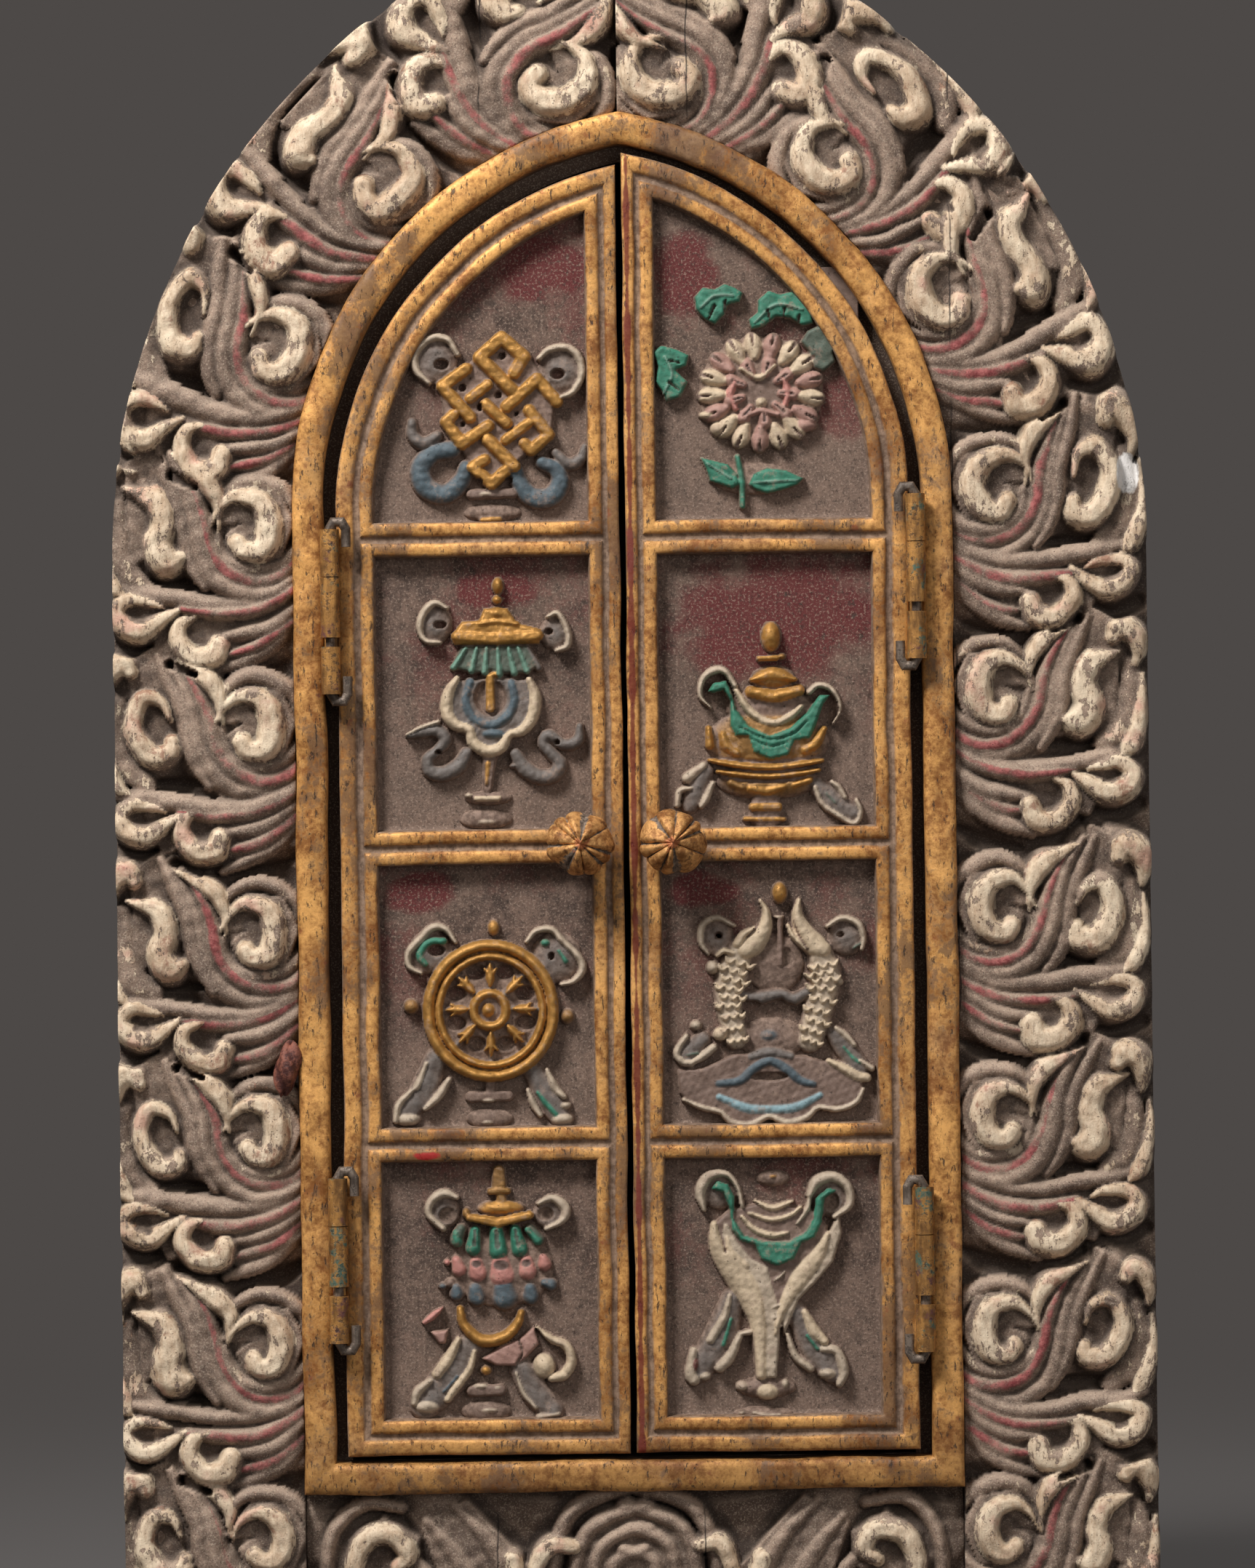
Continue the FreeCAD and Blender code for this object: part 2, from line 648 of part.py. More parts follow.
# The door leaves: each is one plank with four sunk panels, beads, grooves and emblems
def leaf(name, side, top_gap):
    body = body_named(name)
    meeting = window_shift + centre_gap / 2 * side
    hinged = window_shift + (opening_half - side_gap) * side
    foot = sill_top + sill_gap
    spring = rim_spring + side_gap - top_gap
    centre = (window_shift - rim_centre * side, spring)
    radius = rim_radius - side_gap

    def height_at(x, inset):
        """Height of the arch, drawn in by inset, over the point x."""
        run = (x - centre[0]) * side
        return spring + ((radius - inset) * (radius - inset) - run * run).root()

    outline = sketch_on(body, f"{name}_outline", door_front)
    draw_loop(
        outline,
        [
            (meeting, foot),
            (hinged, foot),
            (hinged, spring, centre),
            (meeting, height_at(meeting, ZERO)),
        ],
    )
    slab = pad(body, f"{name}_pad", outline, door_thick)
    doc.recompute()
    back = (door_front + door_thick).number
    names = []
    for number, edge in enumerate(slab.Shape.Edges, 1):
        box = edge.BoundBox
        flat = abs(box.YMin - back) < 1e-6 and box.YLength < 1e-6 and box.XLength < 1e-6
        if flat and abs(box.XMin - meeting.number) < 1e-6:
            names.append(f"Edge{number}")
    bevel = body.newObject("PartDesign::Chamfer", f"{name}_bevel")
    bevel.Base = (slab, names)
    bevel.ChamferType = "Two distances"
    bind(bevel, "Size", door_thick * 0.95)
    bind(bevel, "Size2", meeting_bevel)

    cell_in = meeting + (meeting_border + groove_width) * side
    cell_out = hinged - (hinge_border + groove_width) * side
    cell_foot = foot + foot_border + groove_width
    arch_inset = hinge_border + groove_width
    levels = [cell_foot, level_one, level_two, level_three]

    def cell(sketch, number, inset):
        """The edge of one panel's cell, drawn in by inset."""
        x_in = cell_in + inset * side
        x_out = cell_out - inset * side
        low = levels[number] + inset
        if number:
            low = low + groove_width / 2
        if number < 3:
            high = levels[number + 1] - groove_width / 2 - inset
            draw_loop(sketch, [(x_in, low), (x_out, low), (x_out, high), (x_in, high)])
            return
        draw_loop(
            sketch,
            [
                (x_in, low),
                (x_out, low),
                (x_out, spring, centre),
                (x_in, height_at(x_in, arch_inset + inset)),
            ],
        )

    grooves = sketch_on(body, f"{name}_grooves", door_front)
    border_in = meeting + meeting_border * side
    border_out = hinged - hinge_border * side
    draw_loop(
        grooves,
        [
            (border_in, foot + foot_border),
            (border_out, foot + foot_border),
            (border_out, spring, centre),
            (border_in, height_at(border_in, hinge_border)),
        ],
    )
    for number in range(4):
        cell(grooves, number, ZERO)
    pocket(body, f"{name}_groove_cut", grooves, groove_depth)
    recesses = sketch_on(body, f"{name}_recesses", door_front)
    for number in range(4):
        cell(recesses, number, bead_face)
    pocket(body, f"{name}_recess_cut", recesses, recess_depth)
    emblems = sketch_on(body, f"{name}_emblems", door_front + recess_depth - emblem_height)
    middle = (cell_in + cell_out) / 2
    for level, (beside, above, forms) in zip(levels, EMBLEMS[name]):
        for form in forms:
            centre_x = middle + carving_unit * beside
            draw_loop(emblems, outline_of(form, centre_x, level + carving_unit * above))
    pad(body, f"{name}_emblem_pad", emblems, emblem_height + root_depth)
    return keep(body)


# The knobs: lobed heads on necks, like a small gourd
def round_hole(sketch, x, y, radius):
    """A circle held by its centre and radius."""
    x, y, radius = as_size(x), as_size(y), as_size(radius)
    centre = FreeCAD.Vector(x.number, y.number, 0)
    sketch.addGeometry(Part.Circle(centre, FreeCAD.Vector(0, 0, 1), radius.number), False)
    circle = sketch.GeometryCount - 1
    hold(sketch, "DistanceX", circle, 3, x)
    hold(sketch, "DistanceY", circle, 3, y)
    number = sketch.addConstraint(Sketcher.Constraint("Radius", circle, radius.number))
    sketch.setExpression(f"Constraints[{number}]", radius.text)


def star(sketch, radius):
    """The knob's lobed section: ridges at the given radius and valleys between them."""
    count = int(knob_lobes.number)
    corners = []
    for number in range(2 * count):
        angle = math.pi * (number + 0.5) / count
        reach = radius * knob_valley if number % 2 else radius
        corners.append((reach * math.cos(angle), reach * math.sin(angle)))
    draw_loop(sketch, corners)


def slope(body, name, feature, depth, inset, run):
    """Planes the edges of the head's flat end at a depth: inset across it, run along it."""
    doc.recompute()
    names = []
    for number, edge in enumerate(feature.Shape.Edges, 1):
        box = edge.BoundBox
        if abs(box.YMin - depth.number) < 1e-6 and box.YLength < 1e-6:
            names.append(f"Edge{number}")
    planed = body.newObject("PartDesign::Chamfer", name)
    planed.Base = (feature, names)
    planed.ChamferType = "Two distances"
    bind(planed, "Size", run)
    bind(planed, "Size2", inset)
    return planed


def knob(name, side):
    """A lobed head, planed back under its widest place and round its crown, on a neck."""
    body = body_named(name)
    lobes = sketch_on(body, f"{name}_lobes", -knob_reach)
    star(lobes, knob_radius)
    head = pad(body, f"{name}_head", lobes, knob_reach - knob_neck_length)
    crown = slope(body, f"{name}_crown", head, -knob_reach, knob_shoulder, knob_shoulder_run)
    brow = slope(body, f"{name}_brow", crown, -knob_reach, knob_brow, knob_brow)
    slope(body, f"{name}_under", brow, -knob_neck_length, knob_under, knob_under)
    neck = sketch_on(body, f"{name}_neck_outline", -(knob_neck_length + root_depth))
    round_hole(neck, ZERO, ZERO, knob_neck)
    pad(body, f"{name}_neck", neck, knob_neck_length + root_depth)
    x = window_shift + (centre_gap / 2 + knob_from_edge) * side
    place(body, x, door_front, knob_height)
    return keep(body)


# The hinges: rolled knuckles on plates, with a wire pin whose ends are bent over the door
axis_depth = rim_front - knuckle_stand - knuckle_radius
bore = pin_radius + pin_clearance


def hinge_axis(side):
    return window_shift + (opening_half - side_gap / 2) * side


def knuckle(name, x, low, high):
    """A length of rolled knuckle on the hinge's axis, bored later together with its plate."""
    return upright(name, x, axis_depth, low, high, knuckle_radius)


def plate(name, x_near, x_far, front, low, high):
    """A strip of the hinge's sheet metal, from front back to the reach of the plates."""
    x0, x1 = (x_near, x_far) if x_near.number < x_far.number else (x_far, x_near)
    return block(name, (x0, front, low), (x1, door_front + leaf_reach, high))


def hinge(name, side, top):
    """The jamb's half has the middle knuckle, and the door's half has the two end ones."""
    x = hinge_axis(side)
    mid_top = top - end_knuckle - knuckle_rest
    mid_low = mid_top - mid_knuckle
    end_top = mid_low - knuckle_drop
    foot = end_top - end_knuckle
    jamb_face = window_shift + opening_half * side
    door_edge = window_shift + (opening_half - side_gap) * side
    behind = axis_depth + knuckle_radius + knuckle_stand
    grip = upright(f"{name}_grip", x, axis_depth, foot - 1, top + 1, pin_radius)
    hole = upright(f"{name}_hole", x, axis_depth, foot - 1, top + 1, bore)

    fixed = fuse(
        f"{name}_fixed_blank",
        [
            knuckle(f"{name}_middle", x, mid_low, mid_top),
            plate(
                f"{name}_jamb_plate", jamb_face - leaf_plate * side, jamb_face, behind, foot, top
            ),
            plate(
                f"{name}_jamb_neck",
                jamb_face - leaf_plate * side,
                jamb_face,
                axis_depth,
                mid_low,
                mid_top,
            ),
        ],
    )
    keep(cut(f"{name}_jamb_half", fixed, hole))
    moving = [
        knuckle(f"{name}_upper", x, mid_top + knuckle_rest, top),
        knuckle(f"{name}_lower", x, foot, end_top),
        plate(f"{name}_door_plate", door_edge, door_edge + leaf_plate * side, door_front, foot, top),
    ]
    for part_name, low, high in (("upper", mid_top + knuckle_rest, top), ("lower", foot, end_top)):
        moving.append(
            plate(
                f"{name}_{part_name}_neck",
                door_edge,
                door_edge + leaf_plate * side,
                axis_depth,
                low,
                high,
            )
        )
    keep(cut(f"{name}_door_half", fuse(f"{name}_moving_blank", moving), grip))
    keep(hinge_pin(f"{name}_pin", side, x, foot, top))


def hinge_pin(name, side, x, foot, top):
    """Wire swept along the axis, with both ends bent like a cane's over the door's border.
    Each bend is three short runs round a half circle, as pliers leave it."""
    body = body_named(name)
    bend = hook_reach / 2
    high = bend * as_size(3).root() / 2
    length = top - foot
    far, near = -hook_reach * side, ZERO
    far_turn, near_turn = -bend * 1.5 * side, -bend * 0.5 * side
    stops = [
        (far, hook_drop),
        (far, ZERO),
        (far_turn, -high),
        (near_turn, -high),
        (near, ZERO),
        (near, length),
        (near_turn, length + high),
        (far_turn, length + high),
        (far, length),
        (far, length - hook_drop),
    ]
    route = plain_sketch(body, f"{name}_route", "XZ_Plane")
    points = [FreeCAD.Vector(u.number, v.number, 0) for u, v in stops]
    for run, (start, end) in enumerate(zip(points, points[1:])):
        route.addGeometry(Part.LineSegment(start, end), False)
        if run:
            route.addConstraint(Sketcher.Constraint("Coincident", run - 1, 2, run, 1))
    for run, (u, v) in enumerate(stops):
        line, point = (run, 1) if run < len(stops) - 1 else (run - 1, 2)
        hold(route, "DistanceX", line, point, u)
        hold(route, "DistanceY", line, point, v)
    wire = plain_sketch(body, f"{name}_wire", "XY_Plane")
    bind(wire, "AttachmentOffset.Base.z", hook_drop)
    round_hole(wire, far, ZERO, pin_radius)
    sweep = body.newObject("PartDesign::AdditivePipe", f"{name}_sweep")
    sweep.Profile = wire
    sweep.Spine = route
    sweep.Transition = "Right corner"
    for sketch in (route, wire):
        sketch.Visibility = False
    place(body, x, axis_depth, foot)
    return body


panel_boards(carved_blank())
for word, sign in (("left", -1), ("right", 1)):
    jamb(f"rim_jamb_{word}", sign)
    arch_half(f"rim_arch_{word}", sign)
sill()
case()
leaf("door_left", -1, left_top_gap)
leaf("door_right", 1, right_top_gap)
for word, sign in (("left", -1), ("right", 1)):
    knob(f"knob_{word}", sign)
hinge("hinge_left_upper", -1, left_upper)
hinge("hinge_left_lower", -1, left_lower)
hinge("hinge_right_upper", 1, right_upper)
hinge("hinge_right_lower", 1, right_lower)
doc.recompute()

for thing in doc.Objects:
    if {"Invalid", "Error"} & set(thing.State):
        raise SystemExit(f"{thing.Name} failed: {thing.State}")
for label, thing in parts.items():
    shape = thing.Shape
    if shape.isNull() or not shape.isValid() or not shape.Solids:
        raise SystemExit(f"{label} has no valid solid")

os.makedirs("parts", exist_ok=True)
for label, thing in parts.items():
    thing.Shape.exportStep(f"parts/{label}.step")
print(len(parts), "pieces written")
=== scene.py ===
"""The altar cabinet's finish: carved and painted boards, gilded mouldings and doors, and
the emblems in the door panels. Metres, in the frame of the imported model."""

import math

import bpy
import numpy as np
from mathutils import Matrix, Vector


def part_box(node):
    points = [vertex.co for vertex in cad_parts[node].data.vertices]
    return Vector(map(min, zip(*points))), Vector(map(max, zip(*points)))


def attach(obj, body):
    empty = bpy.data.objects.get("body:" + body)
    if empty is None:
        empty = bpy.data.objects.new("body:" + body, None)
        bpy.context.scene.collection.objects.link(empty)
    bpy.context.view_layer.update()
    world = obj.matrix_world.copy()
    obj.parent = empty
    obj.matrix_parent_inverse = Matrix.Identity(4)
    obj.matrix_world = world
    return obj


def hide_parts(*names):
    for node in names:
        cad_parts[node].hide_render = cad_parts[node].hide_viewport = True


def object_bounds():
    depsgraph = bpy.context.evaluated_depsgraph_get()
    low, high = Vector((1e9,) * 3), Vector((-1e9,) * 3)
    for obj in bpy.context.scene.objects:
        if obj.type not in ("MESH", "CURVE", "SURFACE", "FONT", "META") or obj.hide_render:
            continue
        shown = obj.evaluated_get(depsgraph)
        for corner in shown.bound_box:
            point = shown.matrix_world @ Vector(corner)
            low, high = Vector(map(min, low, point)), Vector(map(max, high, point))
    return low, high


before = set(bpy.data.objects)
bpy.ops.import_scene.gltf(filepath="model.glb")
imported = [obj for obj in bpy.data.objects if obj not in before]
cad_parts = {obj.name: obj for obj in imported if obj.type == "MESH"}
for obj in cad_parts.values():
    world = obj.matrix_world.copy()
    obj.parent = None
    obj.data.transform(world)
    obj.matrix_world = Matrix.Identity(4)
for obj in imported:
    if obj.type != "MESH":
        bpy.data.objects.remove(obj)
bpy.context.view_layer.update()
MM = 0.001


# Camera and light
# The photograph looks straight at the front from a few metres away. Its frame cuts the tip
# of the arch and the lower edge of the base, and the cabinet leans a little to the right.
PHOTO_HEIGHT = 2156
MM_PER_PIXEL = 0.2311
PHOTO_MIDDLE = (-1.7, 284.0)
LEAN_DEG = 0.75
DISTANCE = 2.4
SENSOR_HEIGHT = 24

camera_data = bpy.data.cameras.new("camera")
camera = bpy.data.objects.new("camera", camera_data)
bpy.context.collection.objects.link(camera)
bpy.context.scene.camera = camera
front_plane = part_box("rim_sill")[0][1]
camera.location = (PHOTO_MIDDLE[0] * MM, front_plane - DISTANCE, PHOTO_MIDDLE[1] * MM)
camera.rotation_euler = (math.pi / 2, math.radians(LEAN_DEG), 0)
camera_data.sensor_fit = "VERTICAL"
camera_data.sensor_height = SENSOR_HEIGHT
camera_data.lens = SENSOR_HEIGHT * DISTANCE / (PHOTO_HEIGHT * MM_PER_PIXEL * MM)
camera_data.clip_start = 0.05
camera_data.clip_end = 40


def lamp(name, place, target, size, power):
    """A square soft box at a point, turned towards another point."""
    data = bpy.data.lights.new(name, "AREA")
    data.shape = "SQUARE"
    data.size = size
    data.energy = power
    light = bpy.data.objects.new(name, data)
    bpy.context.collection.objects.link(light)
    light.location = place
    aim = np.array(place) - np.array(target)
    flat = math.hypot(aim[0], aim[1])
    light.rotation_euler = (math.atan2(flat, aim[2]), 0, math.atan2(aim[1], aim[0]) + math.pi / 2)


lamp("key", (-0.75, -0.95, 1.65), (0, 0, 0.28), 0.5, 42)
lamp("fill", (1.2, -1.9, 0.6), (0, 0, 0.25), 1.2, 7)
lamp("rim_light", (0.3, 0.9, 1.5), (0, 0, 0.4), 0.8, 9)


class Value:
    """A socket that can be used in sums, so that shader maths reads as an expression."""

    def __init__(self, socket, tree):
        self.socket = socket
        self.tree = tree

    def node(self, kind, sockets=None, out=0, **settings):
        """Makes a node. Its settings are set first, then its sockets' values or links."""
        made = self.tree.nodes.new(kind)
        for setting, value in settings.items():
            setattr(made, setting, value)
        for key, value in (sockets or {}).items():
            if isinstance(value, Value):
                self.tree.links.new(value.socket, made.inputs[key])
            else:
                made.inputs[key].default_value = value
        return Value(made.outputs[out], self.tree)

    def maths(self, operation, other=0.0):
        """A maths node of the given operation, with this value first."""
        return self.node("ShaderNodeMath", {0: self, 1: other}, operation=operation)

    def __add__(self, other):
        return self.maths("ADD", other)

    def __sub__(self, other):
        return self.maths("SUBTRACT", other)

    def __rsub__(self, other):
        return self.node("ShaderNodeMath", {0: other, 1: self}, operation="SUBTRACT")

    def __mul__(self, other):
        return self.maths("MULTIPLY", other)

    def __truediv__(self, other):
        return self.maths("DIVIDE", other)

    __radd__ = __add__
    __rmul__ = __mul__

    def power(self, exponent):
        """This value raised to an exponent."""
        return self.maths("POWER", exponent)

    def largest(self, other):
        """The larger of this value and another."""
        return self.maths("MAXIMUM", other)

    def step(self, low, high):
        """0 below low, 1 above high and a smooth rise between."""
        return self.node(
            "ShaderNodeMapRange",
            {"Value": self, "From Min": low, "From Max": high},
            interpolation_type="SMOOTHSTEP",
        )

    def noise(self, scale, detail=4.0, roughness=0.55, stretch=(1, 1, 1), shift=(0, 0, 0)):
        """Noise over a position, with features about 1/scale metres across."""
        spot = self.node(
            "ShaderNodeMapping", {"Vector": self, "Location": shift, "Scale": stretch}
        )
        return self.node(
            "ShaderNodeTexNoise",
            {"Vector": spot, "Scale": scale, "Detail": detail, "Roughness": roughness},
        )

    def cells(self, scale):
        """Distance to the nearest of scattered points."""
        return self.node("ShaderNodeTexVoronoi", {"Vector": self, "Scale": scale})

    def mixed(self, first, second):
        """Blends two colours with this value as the share of the second."""
        return self.node(
            "ShaderNodeMix", {0: self, 6: first, 7: second}, out=2, data_type="RGBA"
        )


def rgb(red, green, blue):
    """A colour given as screen values from 0 to 255, made linear."""
    values = np.array([red, green, blue]) / 255
    linear = np.where(values <= 0.04045, values / 12.92, ((values + 0.055) / 1.055) ** 2.4)
    return (*linear.tolist(), 1.0)


def new_finish(name):
    """A material with its shader, the object position and a way to end it."""
    material = bpy.data.materials.new(name)
    material.use_nodes = True
    tree = material.node_tree
    shader = tree.nodes["Principled BSDF"]
    place = tree.nodes.new("ShaderNodeTexCoord")
    return material, shader, Value(place.outputs["Object"], tree)


def finish(shader, colour, roughness, height, depth_mm, metallic=None):
    """Links the varying values to the shader: height times depth_mm becomes the bump."""
    tree = colour.tree
    tree.links.new(colour.socket, shader.inputs["Base Color"])
    tree.links.new(roughness.socket, shader.inputs["Roughness"])
    if metallic is not None:
        tree.links.new(metallic.socket, shader.inputs["Metallic"])
    bump = height.node(
        "ShaderNodeBump", {"Height": height, "Distance": depth_mm * MM, "Strength": 1.0}
    )
    tree.links.new(bump.socket, shader.inputs["Normal"])


def coordinates(place):
    """The three coordinates of a position, in millimetres."""
    parts = place.node("ShaderNodeSeparateXYZ", {0: place}).socket.node.outputs
    return [Value(parts[i], place.tree) * 1000 for i in range(3)]


def tone_parts(place, count):
    """The first channels of a piece's own tone attribute."""
    tone = place.node("ShaderNodeAttribute", attribute_name="tone")
    parts = tone.node("ShaderNodeSeparateColor", {0: tone}).socket.node.outputs
    return [Value(parts[i], place.tree) for i in range(count)]


def plank_grain(place, cloud, dark, light):
    """Planed wood with its grain drawn out along Z: the grain, and its colour."""
    grain = place.noise(260, 6, 0.65, (1, 1, 0.06))
    return grain, (grain * 0.7 + cloud * 0.4).step(0.4, 0.74).mixed(dark, light)


def coat(nodes, material):
    """Gives the named solids a material and leaves their shape as it is."""
    for node in nodes:
        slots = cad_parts[node].data.materials
        slots.clear()
        slots.append(material)


# The boards of the front
# Edge-glued planks, 24 mm thick at the carving's ground. The ground is dark with old paint
# and packed dust, with painted shade in its grooves, and the sides and back are bare darkened wood.
GROUND_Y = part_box("rim_sill")[1][1] / MM
RIM_FRONT_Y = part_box("rim_sill")[0][1] / MM
JOINTS = [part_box("left_board")[1][0] / MM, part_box("crown_board")[1][0] / MM,
          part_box("edge_board")[0][0] / MM]
# Where a chip at the right edge shows the white ground
CHIP_X, CHIP_Z = 158.5, 381


def bare_wood(name, light, dark, dusty):
    """Old plank: grain drawn out along Z, saw marks, darkened hands and dust in patches."""
    material, shader, place = new_finish(name)
    grain = place.noise(260, 6, 0.65, (1, 1, 0.06))
    broad = place.noise(24, 4, 0.5, (1, 1, 0.25))
    stain = place.noise(14, 5, 0.6)
    pores = place.noise(1500, 3, 0.6, (1, 1, 0.05))
    tone = (grain * 0.65 + broad * 0.5).step(0.42, 0.78)
    colour = tone.mixed(dark, light)
    colour = (stain.step(0.52, 0.72) * 0.6).mixed(colour, dark)
    colour = (place.noise(60, 6, 0.7).step(0.5, 0.75) * dusty).mixed(colour, rgb(121, 111, 99))
    height = grain * 0.7 + pores * 0.3
    finish(shader, colour, stain * 0.25 + 0.62, height, 0.35)
    return material


case_wood = bare_wood("case_wood", rgb(112, 84, 60), rgb(58, 42, 31), 0.35)
coat(("case_side_left", "case_side_right", "case_floor", "case_roof",
      "back_board_left", "back_board_middle", "back_board_right"), case_wood)


def carved_paint():
    """The carving's finish, read from each stroke's own attribute: red is the share of cream
    paint, green the share of red and blue the depth in a groove, which is painted as shade. Grey
    dust lies over it, lightest where it faces up, and the cream is flaked off in patches."""
    material, shader, place = new_finish("carved_paint")
    cream, red, groove = tone_parts(place, 3)
    x, y, z = coordinates(place)
    normal = place.node("ShaderNodeNewGeometry", out="Normal")
    facing = normal.node("ShaderNodeSeparateXYZ", {0: normal}, out=2)
    rise = (GROUND_Y - y).step(2, 12.5)
    cloud = place.noise(45, 6, 0.62)
    fine = place.noise(420, 6, 0.68)
    grit = place.noise(1700, 3, 0.7)
    speck = place.cells(900)
    dust = (cloud * 0.6 + fine * 0.5).step(0.38, 0.74).mixed(rgb(104, 85, 73), rgb(170, 144, 124))
    dust = ((1 - rise) * 0.8).mixed(dust, rgb(84, 66, 55))
    dust = (facing.step(0.0, 0.8) * 0.55).mixed(dust, rgb(186, 162, 141))
    dust = (grit.step(0.52, 0.62) * 0.5).mixed(dust, rgb(196, 176, 154))
    dark = place.noise(1300, 3, 0.7, shift=(4, 2, 8)).step(0.56, 0.64)
    dust = (dark * 0.5).mixed(dust, rgb(66, 52, 43))
    patch = place.noise(70, 5, 0.65, shift=(1, 7, 2))
    red_wear = (red * 0.9 + fine * 0.7 + patch * 1.3 - 1.0).step(0.6, 1.05)
    rose = fine.step(0.4, 0.62).mixed(rgb(120, 30, 38), rgb(168, 88, 86))
    colour = (red_wear * 0.85).mixed(dust, rose)
    streak = place.noise(520, 5, 0.7, (1, 1, 0.4))
    ivory = (streak * 0.5 + cloud * 0.5).step(0.36, 0.64)
    ivory = ivory.mixed(rgb(188, 158, 128), rgb(234, 212, 182))
    bare = place.noise(75, 5, 0.62, shift=(5, 5, 5)).step(0.58, 0.66) * streak.step(0.42, 0.56)
    ivory = (bare * 0.8).mixed(ivory, rgb(138, 88, 64))
    scuffed = place.noise(900, 5, 0.75, (1, 1, 0.3)).step(0.56, 0.66)
    ivory = (scuffed * 0.6).mixed(ivory, rgb(128, 104, 84))
    blush = place.noise(60, 4, 0.6, shift=(9, 2, 4)).step(0.54, 0.68) * 0.5
    ivory = blush.mixed(ivory, rgb(198, 136, 120))
    edge = (streak - 0.5) * 4.0 + (place.noise(110, 6, 0.7) - 0.5) * 5.0
    flaked = (cream * 1.5 + edge - 0.92).step(-0.04, 0.1) * cream.step(0.1, 0.4)
    colour = flaked.mixed(colour, ivory)
    pits = (1 - speck.step(0.08, 0.22)) * fine.step(0.5, 0.62)
    colour = (pits * 0.75).mixed(colour, rgb(58, 44, 36))
    # Painted shade: the deeper a place lies in a groove, the darker it is, down to near black
    colour = (groove * 0.75).mixed(colour, rgb(42, 31, 25))
    grain, plank = plank_grain(place, cloud, rgb(64, 47, 36), rgb(132, 102, 78))
    behind = (y - GROUND_Y).step(0.3, 1.2)
    colour = behind.mixed(colour, (patch.step(0.5, 0.7) * 0.5).mixed(plank, rgb(128, 112, 98)))
    chip = ((x - CHIP_X).power(2) + ((z - CHIP_Z) * 0.55).power(2)) * 0.05 + patch * 2 - 1
    colour = (1 - chip.step(0.5, 0.8)).mixed(colour, rgb(226, 220, 214))
    for joint in JOINTS:
        wander = place.noise(26, 4, 0.6, (0, 0, 1), (joint * 0.1, 0, 0)) * 5.0 - 2.5
        broken = place.noise(20, 3, 0.6, (0, 0, 1), (0, joint * 0.1, 0)).step(0.44, 0.54)
        gap = (x - joint + wander).maths("ABSOLUTE")
        colour = ((1 - gap.step(0.08, 0.4)) * broken * 0.85).mixed(colour, rgb(26, 20, 17))
    height = fine * 0.6 + grit * 0.25 + flaked * 0.3 - pits * 0.5 + streak * flaked * 0.3
    height = height + grain * behind * 0.8
    finish(shader, colour, 0.8 - flaked * 0.2 + (fine * 0.1), height, 0.6)
    return material


carved_finish = carved_paint()
coat(("left_board", "sill_board", "crown_board", "right_board", "edge_board"), carved_finish)


# The scroll carving
# Rolling leaf scrolls cut from the boards, one unit every 65 mm up each side and round the
# arch. Each stroke of the gouge is a rounded ridge that follows a curve and ends in a curl.
RIM_OUT = {-1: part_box("rim_jamb_left")[0][0] / MM, 1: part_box("rim_jamb_right")[1][0] / MM}
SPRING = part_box("rim_jamb_left")[1][2] / MM
WINDOW_X = (RIM_OUT[-1] + RIM_OUT[1]) / 2
RIM_FACE = 10
SILL_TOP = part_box("rim_sill")[1][2] / MM
ARCH_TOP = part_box("rim_arch_left")[1][2] / MM
HALF_OUT = (RIM_OUT[1] - RIM_OUT[-1]) / 2
ARCH_RISE = ARCH_TOP - SPRING
OUTER_RADIUS = (HALF_OUT**2 + ARCH_RISE**2) / (2 * HALF_OUT)
ARCH_CENTRE = OUTER_RADIUS - HALF_OUT
SCROLL_RADIUS = OUTER_RADIUS + 14
PANEL_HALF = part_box("edge_board")[1][0] / MM
PANEL_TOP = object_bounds()[1][2] / MM


def spline(points, count):
    """A smooth curve through the given rows, at even steps of its length: each row's other
    columns, such as width and height, are carried along with it. Catmull-Rom form."""
    points = np.asarray(points, float)
    padded = np.vstack([2 * points[0] - points[1], points, 2 * points[-1] - points[-2]])
    t = np.linspace(0, len(points) - 1, 12 * len(points))
    i = np.minimum(t.astype(int), len(points) - 2)
    f = (t - i)[:, None]
    p0, p1, p2, p3 = (padded[i + k] for k in range(4))
    fine = 0.5 * (2 * p1 + (p2 - p0) * f + (2 * p0 - 5 * p1 + 4 * p2 - p3) * f**2
                  + (3 * p1 - p0 - 3 * p2 + p3) * f**3)
    run = np.concatenate([[0], np.cumsum(np.hypot(*np.diff(fine[:, :2], axis=0).T))])
    even = np.linspace(0, run[-1], count)
    return np.column_stack([np.interp(even, run, column) for column in fine.T])


